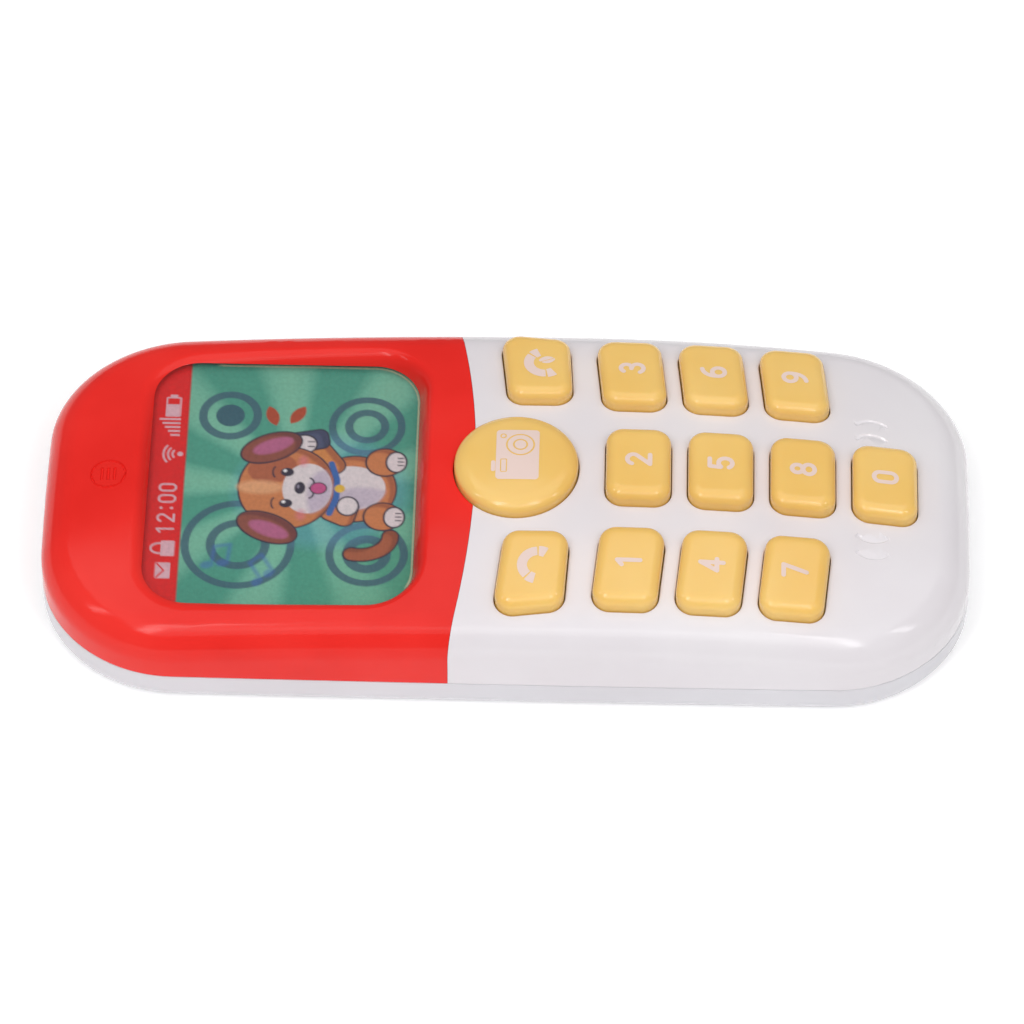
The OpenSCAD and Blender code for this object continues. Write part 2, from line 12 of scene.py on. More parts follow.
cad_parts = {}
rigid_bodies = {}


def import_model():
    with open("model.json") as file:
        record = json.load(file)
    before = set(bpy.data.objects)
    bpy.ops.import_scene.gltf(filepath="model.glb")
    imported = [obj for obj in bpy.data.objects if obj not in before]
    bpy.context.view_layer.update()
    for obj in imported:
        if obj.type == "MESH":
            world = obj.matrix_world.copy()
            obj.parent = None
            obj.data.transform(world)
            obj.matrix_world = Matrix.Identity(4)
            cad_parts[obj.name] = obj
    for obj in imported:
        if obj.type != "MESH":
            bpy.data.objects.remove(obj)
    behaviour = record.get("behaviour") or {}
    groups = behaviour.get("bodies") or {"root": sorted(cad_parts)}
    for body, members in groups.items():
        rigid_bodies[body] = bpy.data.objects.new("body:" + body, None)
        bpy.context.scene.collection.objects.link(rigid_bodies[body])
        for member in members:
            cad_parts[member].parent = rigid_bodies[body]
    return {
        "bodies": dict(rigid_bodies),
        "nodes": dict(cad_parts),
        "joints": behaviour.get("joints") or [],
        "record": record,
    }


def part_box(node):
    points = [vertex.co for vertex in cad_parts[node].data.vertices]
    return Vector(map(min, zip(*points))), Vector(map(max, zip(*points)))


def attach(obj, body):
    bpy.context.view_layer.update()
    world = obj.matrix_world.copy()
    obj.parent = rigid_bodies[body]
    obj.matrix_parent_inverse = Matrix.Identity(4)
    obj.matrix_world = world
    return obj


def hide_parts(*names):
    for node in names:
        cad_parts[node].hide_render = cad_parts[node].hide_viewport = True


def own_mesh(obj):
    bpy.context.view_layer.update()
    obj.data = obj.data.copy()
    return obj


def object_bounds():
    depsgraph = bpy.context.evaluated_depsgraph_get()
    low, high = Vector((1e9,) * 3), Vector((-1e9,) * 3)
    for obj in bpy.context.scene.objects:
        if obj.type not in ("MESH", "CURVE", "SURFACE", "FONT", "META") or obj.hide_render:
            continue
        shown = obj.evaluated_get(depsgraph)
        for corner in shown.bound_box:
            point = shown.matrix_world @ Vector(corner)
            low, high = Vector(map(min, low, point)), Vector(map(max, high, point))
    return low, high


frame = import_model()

MM = 0.001
cad_low, cad_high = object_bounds()

# ---------------------------------------------------------------- sizes shared with the CAD model

HALF_W = cad_high.x / MM
HALF_L = cad_high.y / MM
CORNER_R = 23
SIDE_BOW = 0.012
END_BOW = 0.010
BODY_H = 21.3
CROSS_R = 191
TOP_R = 900
END_R = 349
CREST_Y = -15
SHOULDER_R = 5.6
PART_Z = 5.8
WALL = 2
BACK_EDGE_R = 2.5

COVER_Y = 5.4
COVER_CURVE = 0.003
COVER_T = 1.8
SEAM = 0.06

KEY_L = 11.2
KEY_W = 15.6
COLUMN_X = 21.6
ROW_PITCH = 14.15
ROW_Y = -22.6
OUTER_SHIFT = 1.4
LEAN = 0.096
KEY_CORNER_R = 3
CORNER_STEPS = 10
SIDE_STEPS = 6
KEY_PROUD = 3
KEY_GAP = 0.16
FLANGE_OUT = 1.2
FLANGE_T = 1
FLANGE_DROP = 0.5
TRAY_GAP = 0.1
TRAY_T = 1.6
CAP_WALL = 1.4
STEM_R = 2.4
CAMERA_R = 10.7
CAMERA_Y = -1.6

SCREEN_W = 54
SCREEN_L = 46.4
SCREEN_Y = 38.8
SCREEN_CORNER_R = 8
LENS_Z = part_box("screen_lens")[1].z / MM
EARPIECE_Y = 68.8
MARKS_Y = -62.8
MARK_X = (7.8, 11.2)
MARK_R = 4

DOOR_W = 27.2
DOOR_Y0 = 5.8
DOOR_Y1 = 66.3
DOOR_T = 1.6
DOOR_GAP = 0.3
DOOR_CORNER_R = 3
DOOR_SCREW_Y = 9.5
CASING_SCREWS = [(-23, 67), (23, 67), (-28, 8.5), (28, 8.5), (-24, -67), (24, -67)]
SPEAKER_Y = -45
SWITCH_X = 22
SWITCH_Y = -8

# ---------------------------------------------------------------- plan curves


def steps(a, b, n):
    """n + 1 values from a to b."""
    return [a + (b - a) * i / n for i in range(n + 1)]


def arc(cx, cy, r, a0, a1, n):
    """n + 1 points along an arc, with its angles in degrees."""
    return bend(cx, cy, r, r, a0, a1, n)


def bend(cx, cy, rx, ry, a0, a1, n=14):
    """n + 1 points along an elliptic arc, with its angles in degrees."""
    turns = [math.radians(a) for a in steps(a0, a1, n)]
    return [(cx + rx * math.cos(a), cy + ry * math.sin(a)) for a in turns]


def bowed(p):
    """The outline's sides and ends swell a little towards their middles."""
    x, y = p
    return (x * (1 - SIDE_BOW * (y / HALF_L) ** 2), y * (1 - END_BOW * (x / HALF_W) ** 2))


def crown(x, y):
    """Height of the crowned face."""
    along_r = np.where(np.asarray(y) > CREST_Y, TOP_R, END_R)
    return BODY_H - x * x / (2 * CROSS_R) - (y - CREST_Y) ** 2 / (2 * along_r)


def edge_distance(x, y):
    """Distance inwards from the outline of the casing."""
    u, v = x, y
    for _ in range(4):
        u, v = x / (1 - SIDE_BOW * (v / HALF_L) ** 2), y / (1 - END_BOW * (u / HALF_W) ** 2)
    over_x, over_y = abs(u) - (HALF_W - CORNER_R), abs(v) - (HALF_L - CORNER_R)
    outside = np.hypot(np.maximum(over_x, 0), np.maximum(over_y, 0))
    return CORNER_R - outside - np.minimum(np.maximum(over_x, over_y), 0)


def face(x, y, depth=0.0):
    """Height of the face with its round shoulder, or of a skin that lies deeper inside."""
    r = SHOULDER_R - depth
    d = np.clip(edge_distance(x, y) - depth, 0, r)
    return crown(x, y) - depth - r + np.sqrt(r * r - (r - d) ** 2)


def seam_y(x, shift=0.0):
    """Edge between the red cover and the white front shell."""
    return COVER_Y + COVER_CURVE * x * x + shift


def mirrored(points):
    """The same points on the other side of the middle line, in the opposite order."""
    return [(-x, y) for x, y in reversed(points)]


def quarter(inset, end, y0):
    """Outline from the right side at y0 round a corner to the middle of one end, moved inwards by inset."""
    hx, hy, r = HALF_W - CORNER_R, HALF_L - CORNER_R, CORNER_R - inset
    side = [(hx + r, y) for y in steps(y0, end * hy, 18)][:-1]
    corner = [(x, end * (hy + y)) for x, y in arc(hx, 0, r, 0, 90, 26)]
    last = [(x, end * (hy + r)) for x in steps(hx, 0, 6)][1:]
    return [bowed(p) for p in side + corner + last]


def half_outline(inset, end, shift):
    """Outline from the seam on the right, round one end, to the seam on the left."""
    side = HALF_W - inset
    y0 = 0
    for _ in range(12):
        x = side * (1 - SIDE_BOW * (y0 / HALF_L) ** 2)
        y0 = seam_y(x, shift) / (1 - END_BOW * (side / HALF_W) ** 2)
    right = quarter(inset, end, y0)
    return right + mirrored(right[:-1])


def whole_outline(inset):
    """Closed outline, anticlockwise."""
    top = quarter(inset, 1, 0)
    low = quarter(inset, -1, 0)
    return top + mirrored(top[:-1]) + [(-x, y) for x, y in low[1:]] + low[-2:0:-1]


def corner_loop(w, l, r, cy, cx=0.0, n=6):
    """Closed outline of a rounded rectangle, anticlockwise, with the same number of points for every size."""
    x, y = w / 2 - r, l / 2 - r
    out = []
    for sx, sy, a in ((1, 1, 0), (-1, 1, 90), (-1, -1, 180), (1, -1, 270)):
        out += arc(cx + sx * x, cy + sy * y, r, a, a + 90, n)
    return out


def rounded_rect(w, l, r, cy, n=12, cx=0):
    """The same outline with its straight sides cut into short pieces."""
    return dense(corner_loop(w, l, r, cy, cx, n), 2.5)


def dense(loop, step):
    """The loop with its long straight edges cut into even pieces."""
    out = []
    for i, p in enumerate(loop):
        q = loop[(i + 1) % len(loop)]
        n = max(1, round(math.dist(p, q) / step))
        out += [(p[0] + (q[0] - p[0]) * k / n, p[1] + (q[1] - p[1]) * k / n) for k in range(n)]
    return out


def circle(cx, cy, r, n=48):
    return arc(cx, cy, r, 0, 360, n)[:-1]


def offset_loop(loop, d):
    """The closed loop moved outwards by d along its normals, for an anticlockwise loop."""
    p = np.array(loop)
    t = np.roll(p, -1, 0) - np.roll(p, 1, 0)
    t /= np.linalg.norm(t, axis=1)[:, None]
    return [tuple(q) for q in p + d * np.stack([t[:, 1], -t[:, 0]], 1)]


def screen_loop(out, n=14):
    """Edge of the screen opening, moved outwards by out. Every offset has the same number of points."""
    base = rounded_rect(SCREEN_W, SCREEN_L, SCREEN_CORNER_R, SCREEN_Y, n)
    return offset_loop(base, out) if out else base


def inside(loop, pts):
    """Which of the points lie inside the closed loop."""
    pts = np.asarray(pts)
    x, y = pts[:, 0], pts[:, 1]
    hit = np.zeros(len(pts), bool)
    for (ax, ay), (bx, by) in zip(loop, loop[1:] + loop[:1]):
        cross = (ay > y) != (by > y)
        if ay != by:
            hit ^= cross & (x < (bx - ax) * (y - ay) / (by - ay) + ax)
    return hit


# ---------------------------------------------------------------- key outlines


def column_pt(side, out, y):
    return (side * (COLUMN_X + out), y)


def key_side(n):
    """Column of a number key: -1, 0 or 1."""
    return 0 if n == 0 else (n - 1) % 3 - 1


def key_y(n):
    row = 3 if n == 0 else (n - 1) // 3
    return ROW_Y - row * ROW_PITCH + abs(key_side(n)) * OUTER_SHIFT


def number_corners(n):
    """Four corners of a number key, anticlockwise. Keys of the outer columns lean."""
    side, y = key_side(n), key_y(n)
    o, h = KEY_W / 2, KEY_L / 2
    lean = LEAN * o * abs(side)
    pts = [(-o, y - h - lean), (o, y - h + lean), (o, y + h + lean), (-o, y + h - lean)]
    if side == 0:
        return pts
    pts = [column_pt(side, x, v) for x, v in pts]
    return pts if side > 0 else pts[::-1]


def talk_corners(side):
    pts = [column_pt(side, o, y) for o, y in ((-6.7, -11.1), (7.9, -10.25), (9.3, 1.8), (-6.7, 0.1))]
    return pts if side > 0 else pts[::-1]


def rounded_poly(corners, r, inset):
    """Convex outline with round corners of CORNER_STEPS + 1 points, moved inwards by inset."""
    c = [Vector(p) for p in corners]
    out = []
    for i, p in enumerate(c):
        d1 = (p - c[i - 1]).normalized()
        d2 = (c[(i + 1) % len(c)] - p).normalized()
        turn = math.acos(max(-1, min(1, d1.dot(d2))))
        centre = p + (d2 - d1).normalized() * r / math.cos(turn / 2)
        a1 = math.degrees(math.atan2(-d1.x, d1.y))
        out += arc(centre.x, centre.y, r - inset, a1, a1 + math.degrees(turn), CORNER_STEPS)
    return out


def key_loop(corners, inset):
    """Outline of a key; no corners means the round camera button."""
    if not corners:
        return circle(0, CAMERA_Y, CAMERA_R - inset, 96)
    loop = rounded_poly(corners, KEY_CORNER_R, inset)
    out = []
    for i, p in enumerate(loop):
        q = loop[(i + 1) % len(loop)]
        starts_side = i % (CORNER_STEPS + 1) == CORNER_STEPS
        k = SIDE_STEPS if starts_side else 1
        out += [(p[0] + (q[0] - p[0]) * j / k, p[1] + (q[1] - p[1]) * j / k) for j in range(k)]
    return out


def key_centre(corners):
    if not corners:
        return (0, CAMERA_Y)
    return (sum(p[0] for p in corners) / 4, sum(p[1] for p in corners) / 4)


# ---------------------------------------------------------------- mesh kit


class Skin:
    """Collects the faces of one closed piece, in millimetres, and welds them at the end."""

    def __init__(self):
        self.points = []
        self.faces = []

    def strip(self, rows, closed=False):
        """Quads between rows of 3D points of equal length."""
        n = len(rows[0])
        base = len(self.points)
        for row in rows:
            self.points += [tuple(p) for p in row]
        for k in range(len(rows) - 1):
            for j in range(n if closed else n - 1):
                a, b = base + k * n + j, base + k * n + (j + 1) % n
                self.faces.append((a, b, b + n, a + n))

    def fan(self, row, centre):
        """Triangles from a closed row to a centre point."""
        base = len(self.points)
        self.points += [tuple(p) for p in row] + [tuple(centre)]
        n = len(row)
        self.faces += [(base + j, base + (j + 1) % n, base + n) for j in range(n)]

    def capped(self, rows):
        """Quads between closed rows, with a fan over the first row and one over the last."""
        self.strip(rows, closed=True)
        for row in (rows[0], rows[-1]):
            self.fan(row, np.mean(row, 0))

    def sheet(self, outer, holes, step, height, creases=(), extra=()):
        """Triangles over the plan inside outer and outside the holes, lifted to height(x, y).
        Extra points make the mesh finer where the height curves more."""
        loops = [list(outer)] + [list(h) for h in holes] + [list(c) for c in creases]
        pts, edges = [], []
        for loop in loops:
            base, n = len(pts), len(loop)
            pts += loop
            edges += [(base + i, base + (i + 1) % n) for i in range(n)]
        fixed = np.array(pts)
        low, high = fixed.min(0), fixed.max(0)
        grid = []
        for row, y in enumerate(np.arange(low[1] + step / 2, high[1], step * 0.87)):
            shift = step / 2 * (row % 2)
            grid += [(x + shift, y) for x in np.arange(low[0] + step / 2, high[0], step)]
        for free, room in ((np.array(extra), 0.3), (np.array(grid), step * 0.55)):
            if len(free) == 0:
                continue
            keep = inside(outer, free)
            for hole in holes:
                keep &= ~inside(hole, free)
            free = free[keep]
            fixed = np.array(pts)
            parts = np.array_split(free, 20)
            near = [np.sqrt(((g[:, None, :] - fixed[None]) ** 2).sum(2)).min(1) for g in parts if len(g)]
            if near:
                pts += [tuple(g) for g in free[np.concatenate(near) > room]]
        made = delaunay_2d_cdt([Vector(p) for p in pts], edges, [], 0, 1e-7)
        verts, faces = made[0], [f for f in made[2] if len(f) == 3]
        middles = np.array([sum((verts[i] for i in f), Vector((0, 0))) / 3 for f in faces])
        keep = inside(outer, middles)
        for hole in holes:
            keep &= ~inside(hole, middles)
        base = len(self.points)
        self.points += lifted([(v.x, v.y) for v in verts], height)
        self.faces += [tuple(base + i for i in f) for f, k in zip(faces, keep) if k]

    def build(self, name, sharp_deg=38, weld=0.002):
        """The welded mesh as an object, smooth but for edges sharper than sharp_deg."""
        mesh = bpy.data.meshes.new(name)
        bm = bmesh.new()
        made = [bm.verts.new(p) for p in self.points]
        for f in self.faces:
            if len({self.points[i] for i in f}) > 2:
                try:
                    bm.faces.new([made[i] for i in f])
                except ValueError:
                    continue
        bmesh.ops.remove_doubles(bm, verts=bm.verts, dist=weld)
        bmesh.ops.dissolve_degenerate(bm, edges=bm.edges, dist=weld / 4)
        loose = [v for v in bm.verts if not v.link_faces]
        bmesh.ops.delete(bm, geom=loose, context="VERTS")
        bmesh.ops.recalc_face_normals(bm, faces=bm.faces)
        bmesh.ops.scale(bm, vec=(MM, MM, MM), verts=bm.verts)
        bm.to_mesh(mesh)
        bm.free()
        return finished(name, mesh, sharp_deg)


def finished(name, mesh, sharp_deg=38):
    """An object with smooth shading that keeps its sharp edges."""
    for poly in mesh.polygons:
        poly.use_smooth = True
    mesh.set_sharp_from_angle(angle=math.radians(sharp_deg))
    ob = bpy.data.objects.new(name, mesh)
    bpy.context.scene.collection.objects.link(ob)
    weighted = ob.modifiers.new("weighted_normals", "WEIGHTED_NORMAL")
    weighted.keep_sharp = True
    return ob


def at(loop, z):
    """A row of 3D points at a fixed height."""
    return [(x, y, z) for x, y in loop]


def on_crown(loop, lift):
    """A row of 3D points that follows the crowned face."""
    return [(x, y, crown(x, y) + lift) for x, y in loop]


def round_over(r, n, end=90.0):
    """(inwards, down) pairs of a rounded edge, from its vertical side to its flat top."""
    angles = [math.radians(a) for a in steps(0, end, n)]
    return [(r * (1 - math.cos(a)), r * (1 - math.sin(a))) for a in angles]


def dress(ob, material, body, slot, *nodes):
    """Gives a piece its material and its body, and hides the CAD nodes that it stands for. The slot is not
    used.
    """
    ob.data.materials.clear()
    ob.data.materials.append(material)
    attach(ob, body)
    if nodes:
        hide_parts(*nodes)
    return ob


# ---------------------------------------------------------------- materials


def rgb(hex_code):
    """Linear colour from an sRGB hex code."""
    parts = [int(hex_code[i : i + 2], 16) / 255 for i in (0, 2, 4)]
    return tuple(c / 12.92 if c < 0.04045 else ((c + 0.055) / 1.055) ** 2.4 for c in parts) + (1,)


class Mat:
    """A Principled material with small helpers for procedural detail in object space."""

    def __init__(self, name, **values):
        self.m = bpy.data.materials.new(name)
        self.m.use_nodes = True
        self.nodes, self.links = self.m.node_tree.nodes, self.m.node_tree.links
        self.bsdf = self.nodes["Principled BSDF"]
        self.coords = self.nodes.new("ShaderNodeTexCoord").outputs["Object"]
        self.normal = None
        self.feed(self.bsdf, values)

    def feed(self, node, inputs):
        """Fills a node's inputs with values or other nodes' outputs; an underscore stands for a space."""
        for key, value in inputs.items():
            socket = node.inputs[key.replace("_", " ")]
            if isinstance(value, bpy.types.NodeSocket):
                self.links.new(value, socket)
            else:
                socket.default_value = value

    def node(self, kind, **inputs):
        made = self.nodes.new(f"ShaderNode{kind}")
        self.feed(made, inputs)
        return made

    def noise(self, scale, detail=3, rough=0.55, stretch=None):
        source = self.coords
        if stretch:
            source = self.node("Mapping", Vector=source, Scale=stretch).outputs["Vector"]
        made = self.node("TexNoise", Vector=source, Scale=scale, Detail=detail, Roughness=rough)
        return made.outputs["Fac"]

    def ramp(self, source, stops):
        """Colour ramp through (position, colour) stops."""
        r = self.node("ValToRGB", Fac=source)
        e = r.color_ramp.elements
        while len(e) < len(stops):
            e.new(0.5)
        for element, (place, colour) in zip(e, stops):
            element.position = place
            element.color = colour if len(colour) == 4 else (*colour, 1)
        return r.outputs["Color"]

    def span(self, source, low, high, from_low=0.3, from_high=0.7):
        """The source mapped from one range to another."""
        ends = {"From Min": from_low, "From Max": from_high, "To Min": low, "To Max": high}
        return self.node("MapRange", Value=source, **ends).outputs["Result"]

    def drive(self, socket, source):
        self.links.new(source, self.bsdf.inputs[socket])

    def bump(self, source, strength, distance):
        """Adds a layer of bump; distance is in millimetres."""
        b = self.node("Bump", Height=source, Strength=strength, Distance=distance * MM)
        if self.normal is not None:
            self.links.new(self.normal, b.inputs["Normal"])
        self.normal = b.outputs["Normal"]
        self.links.new(self.normal, self.bsdf.inputs["Normal"])


def moulded_plastic(name, base, deep, pale, rough=0.2, wave=0.02, grain=0.004, **values):
    """Glossy moulded plastic: slow colour drift, gentle sink waves, fine orange peel and faint haze."""
    mat = Mat(name, **values)
    drift = mat.noise(38, 3, 0.5)
    mat.drive("Base Color", mat.ramp(drift, [(0.3, rgb(deep)), (0.5, rgb(base)), (0.72, rgb(pale))]))
    haze = mat.noise(140, 5, 0.6)
    mat.drive("Roughness", mat.span(haze, rough * 0.85, rough * 1.25))
    mat.bump(mat.noise(55, 2, 0.4), 0.35, wave)
    mat.bump(mat.noise(900, 3, 0.5), 0.25, grain)
    return mat.m


def plated_steel():
    """Zinc-plated steel with a fine grain and faint stains."""
    mat = Mat("zinc_plated_steel", Metallic=1.0)
    mat.drive("Base Color", mat.ramp(mat.noise(180, 4), [(0.3, rgb("8d9095")), (0.65, rgb("b2b5ba"))]))
    mat.drive("Roughness", mat.span(mat.noise(600, 3), 0.22, 0.42))
    mat.bump(mat.noise(900, 2), 0.3, 0.01)
    return mat.m


WHITE = moulded_plastic("white_plastic", "e6e1e5", "e3dde1", "e9e5e8", 0.13, Specular_IOR_Level=0.45)
# The back parts use the front's white plastic painted a little darker and greyer: painted shade for the lower
# shell, which sits in shade under the body.
SHADED_BACK_WHITE = moulded_plastic("back_plastic_painted_shade", "dcdadf", "d9d6db", "dfdde2", 0.15, Specular_IOR_Level=0.4)
RED = moulded_plastic("red_plastic", "ee2e28", "e62822", "f2362f", 0.13, wave=0.03, Specular_IOR_Level=0.2)
YELLOW = moulded_plastic(
    "yellow_plastic", "f7c972", "f4c369", "facf7c", 0.15, grain=0.002, Specular_IOR_Level=0.45,
    Subsurface_Weight=0.2, Subsurface_Scale=0.002, Subsurface_Radius=(1, 0.75, 0.4),
)
PRINT = moulded_plastic("pad_print", "ebd2c9", "e6cbc2", "efd8d0", 0.42, wave=0.002)
DARK = moulded_plastic("dark_plastic", "26262a", "1e1e22", "303036", 0.4)
STEEL = plated_steel()


def printed_card():
    """The printed card under the window: the painted picture with print grain and fine lenticular ribs."""
    mat = Mat("printed_card", Specular_IOR_Level=0.2)
    paint = mat.node("VertexColor")
    paint.layer_name = "picture"
    grain = mat.node("Mix")
    grain.data_type = "RGBA"
    grain.blend_type = "MULTIPLY"
    grain.inputs["Factor"].default_value = 0.5
    mat.links.new(paint.outputs["Color"], grain.inputs["A"])
    dots = mat.ramp(mat.noise(1500, 2), [(0.3, (0.72, 0.74, 0.76)), (0.7, (1, 1, 1))])
    mat.links.new(dots, grain.inputs["B"])
    mat.drive("Base Color", grain.outputs["Result"])
    mat.drive("Roughness", mat.span(mat.noise(90, 3), 0.32, 0.48))
    ribs = mat.node("TexWave", Vector=mat.coords, Scale=480, Distortion=0)
    ribs.bands_direction = "Y"
    mat.bump(ribs.outputs["Fac"], 0.25, 0.02)
    return mat.m


def clear_window():
    """Clear plastic: mostly see-through, with a faint haze and soft moulding waves."""
    mat = Mat("clear_window", Base_Color=(0.25, 0.3, 0.3, 1), IOR=1.49)
    mat.drive("Alpha", mat.span(mat.noise(30, 2), 0.03, 0.05))
    mat.drive("Roughness", mat.span(mat.noise(120, 4), 0.05, 0.12))
    mat.bump(mat.noise(60, 2, 0.4), 0.3, 0.02)
    return mat.m


PICTURE = printed_card()
CLEAR = clear_window()


# ---------------------------------------------------------------- casing

LIP = 0.22
FOOT_R = 0.3
SHEET_INSET = 3.4
BEVEL_W = 2.6
BEVEL_MID = 1.4
BEVEL_FOOT = 0.5
LEDGE_W = 2.3
LENS_GAP = 0.03
BEND_STEPS = 11
LIP_STEPS = 5
WALL_SHARES = (0.34, 0.67)
FACE_STEP = 1.7
INSIDE_STEP = 4
MARK_W = 0.7
MARK_DEPTH = 0.22
MARK_SOFT = 0.28
MARK_SPREAD = 42
EARPIECE_R = 3.1
EARPIECE_DEPTH = 0.3
CAMERA_HOLE_R = CAMERA_R + KEY_GAP
ALL_KEYS = {f"key_{n}": number_corners(n) for n in range(10)}
ALL_KEYS["key_call"] = talk_corners(-1)
ALL_KEYS["key_end"] = talk_corners(1)
ALL_KEYS["key_camera"] = []


def seam_meets(r, shift):
    """X where the seam crosses a circle of radius r round the camera button."""
    x = r
    for _ in range(30):
        x = math.sqrt(r * r - (seam_y(x, shift) - CAMERA_Y) ** 2)
    return x


def camera_arc(r, side, shift, n=72):
    """Arc round the camera button from the seam on the right to the seam on the left."""
    x = seam_meets(r, shift)
    a = math.degrees(math.atan2(seam_y(x, shift) - CAMERA_Y, x))
    return arc(0, CAMERA_Y, r, a, 180 - a if side > 0 else -180 - a, n)


def seam_points(x0, x1, shift, n=18):
    return [(x, seam_y(x, shift)) for x in steps(x0, x1, n)]


def half_casing(side, shift, wall, rims_out, rims_in, height, inner_height, creases=()):
    """One front part of the casing, on one side of the seam: a closed wall with a round shoulder.
    rims_out and rims_in are the openings' edges in its outer and inner faces."""
    skin = Skin()
    outer = [at(half_outline(a, side, shift), PART_Z + b) for a, b in reversed(round_over(FOOT_R, 3))]
    foot = outer[-1]
    brow = on_crown(half_outline(0, side, shift), -SHOULDER_R)
    for t in WALL_SHARES:
        outer.append([(x, y, f[2] + (z - f[2]) * t) for (x, y, z), f in zip(brow, foot)])
    turn = math.degrees(math.acos(1 - SHEET_INSET / SHOULDER_R))
    outer += [on_crown(half_outline(a, side, shift), -b) for a, b in round_over(SHOULDER_R, BEND_STEPS, turn)]
    inner_brow = on_crown(half_outline(wall, side, shift), -SHOULDER_R)
    rises = (0, 0.02, 0.04, 0.06, *WALL_SHARES)
    inner = [[(x, y, PART_Z + (z - PART_Z) * t) for x, y, z in inner_brow] for t in rises]
    turn = math.degrees(math.acos(1 - (SHEET_INSET - wall) / (SHOULDER_R - wall)))
    rounded = round_over(SHOULDER_R - wall, BEND_STEPS, turn)
    inner += [on_crown(half_outline(wall + a, side, shift), -wall - b) for a, b in rounded]
    skin.strip(outer)
    skin.strip(inner)
    skin.strip([outer[0], inner[0]])

    ring = half_outline(SHEET_INSET, side, shift)
    finer = steps(SHEET_INSET + 0.4, SHOULDER_R + 0.2, 5)
    curved = [p for a in finer for p in half_outline(a, side, shift)]
    lips = round_over(LIP, LIP_STEPS)[::-1]
    arcs = [camera_arc(CAMERA_HOLE_R + a, side, shift) for a, _ in lips]
    tips = [a[0] for a in arcs]
    along = seam_points(ring[0][0], tips[0][0], shift)
    home = mirrored(along)[::-1][1:], along[::-1][:-1]
    skin.sheet(ring + home[0] + arcs[0][::-1][1:-1] + home[1], rims_out, FACE_STEP, height, creases, curved)
    tips_left = [(-x, y) for x, y in tips[1:]]
    inner_plan = ring + home[0] + tips_left + arcs[-1][::-1][1:-1] + tips[:0:-1] + home[1]
    skin.sheet(inner_plan, rims_in, INSIDE_STEP, inner_height, (), curved)
    skin.strip([lifted(row, height, -b) for (_, b), row in zip(lips, arcs)])
    skin.strip([lifted(arcs[-1], height, -LIP), lifted(arcs[-1], inner_height)])

    for sx in (1, -1):
        end = 0 if sx > 0 else -1
        line = [(sx * x, y) for x, y in along[1:]]
        tip_line = [(sx * x, y) for x, y in tips[1:]]
        up_out = [row[end] for row in outer] + lifted(line, height)
        up_out += [(x, y, z - b) for (x, y, z), (_, b) in zip(lifted(tip_line, height), lips[1:])]
        up_in = [row[end] for row in inner] + lifted(line + tip_line, inner_height)
        skin.strip([up_out, up_in])
    return skin


def lifted(loop, height, lift=0.0):
    """A row of 3D points on a height function."""
    x, y = np.array(loop).T
    return list(zip(x, y, height(x, y) + lift))


def engraved(loops, depth, soft):
    """A height function that lowers the crowned face inside the loops, and the plan creases that it needs."""
    creases = [offset_loop(l, d) for l in loops for d in (soft / 2, -soft / 2)]
    lowered = [offset_loop(l, -soft * 0.45) for l in loops]

    def height(x, y):
        pts = np.stack([x, y], 1)
        return face(x, y) - depth * sum(inside(l, pts) for l in lowered)

    return height, creases


def mark_loop(x, s):
    """One sound mark: a short arc band that bulges away from the 0 key."""
    near, far, spread = MARK_R - MARK_W / 2, MARK_R + MARK_W / 2, MARK_SPREAD
    band = arc(x, MARKS_Y, far, -spread, spread, 14) + arc(x, MARKS_Y, near, spread, -spread, 14)
    return band if s > 0 else mirrored(band)


def make_front_shell():
    """White lower front of the casing, with rounded key openings and four shallow sound marks."""
    marks = [mark_loop(x, s) for s in (-1, 1) for x in MARK_X]
    height, creases = engraved(marks, MARK_DEPTH, MARK_SOFT)
    square = [c for c in ALL_KEYS.values() if c]
    wide = [key_loop(c, -KEY_GAP - LIP) for c in square]
    narrow = [key_loop(c, -KEY_GAP) for c in square]
    skin = half_casing(-1, 0, WALL, wide, narrow, height, lambda x, y: face(x, y, WALL), creases)
    for c in square:
        rows = [lifted(key_loop(c, -KEY_GAP - a), height, -b) for a, b in round_over(LIP, LIP_STEPS)[::-1]]
        rows.append(lifted(key_loop(c, -KEY_GAP), lambda x, y: face(x, y, WALL)))
        skin.strip(rows, closed=True)
    return dress(skin.build("front_shell_body"), WHITE, "casing", "white_shell", "front_shell")


def make_top_cover():
    """Red cover of the top end: the screen opening has a broad soft lip that rolls down to the lens."""
    slots = [rounded_rect(2.8, 0.42, 0.2, EARPIECE_Y + y, 3) for y in (-1.1, 0, 1.1)]
    ring = circle(0, EARPIECE_Y, EARPIECE_R, 64)
    core = circle(0, EARPIECE_Y, EARPIECE_R - 0.35, 64)
    soft = 0.16
    cut, _ = engraved(slots + [ring], EARPIECE_DEPTH, soft)
    core_in = offset_loop(core, soft / 2)
    creases = [offset_loop(l, d) for l in slots + [ring, core] for d in (soft / 2, -soft / 2)]

    def height(x, y):
        pts = np.stack([x, y], 1)
        return cut(x, y) + inside(core_in, pts) * EARPIECE_DEPTH

    ledge = screen_loop(LEDGE_W)
    ledge_z = LENS_Z + LENS_GAP

    def under(x, y):
        over_lens = inside(ledge, np.stack([x, y], 1))
        return np.where(over_lens, ledge_z, face(x, y, COVER_T))

    bottom, top = screen_loop(0), screen_loop(BEVEL_W)
    skin = half_casing(1, SEAM, COVER_T, [top], [bottom], height, under, creases)
    rows = []
    for t in steps(0, 1, 14):
        s = 1 - t
        out = s**3 * BEVEL_W + 3 * s * s * t * BEVEL_MID + 3 * s * t * t * BEVEL_FOOT
        fall = 3 * s * t * t * 0.55 + t**3
        rows.append([(x, y, z - (z - ledge_z) * fall) for x, y, z in on_crown(screen_loop(out), 0)])
    skin.strip(rows, closed=True)
    return dress(skin.build("top_cover_body"), RED, "casing", "red_cover", "top_cover")


make_front_shell()
make_top_cover()

# ---------------------------------------------------------------- keys

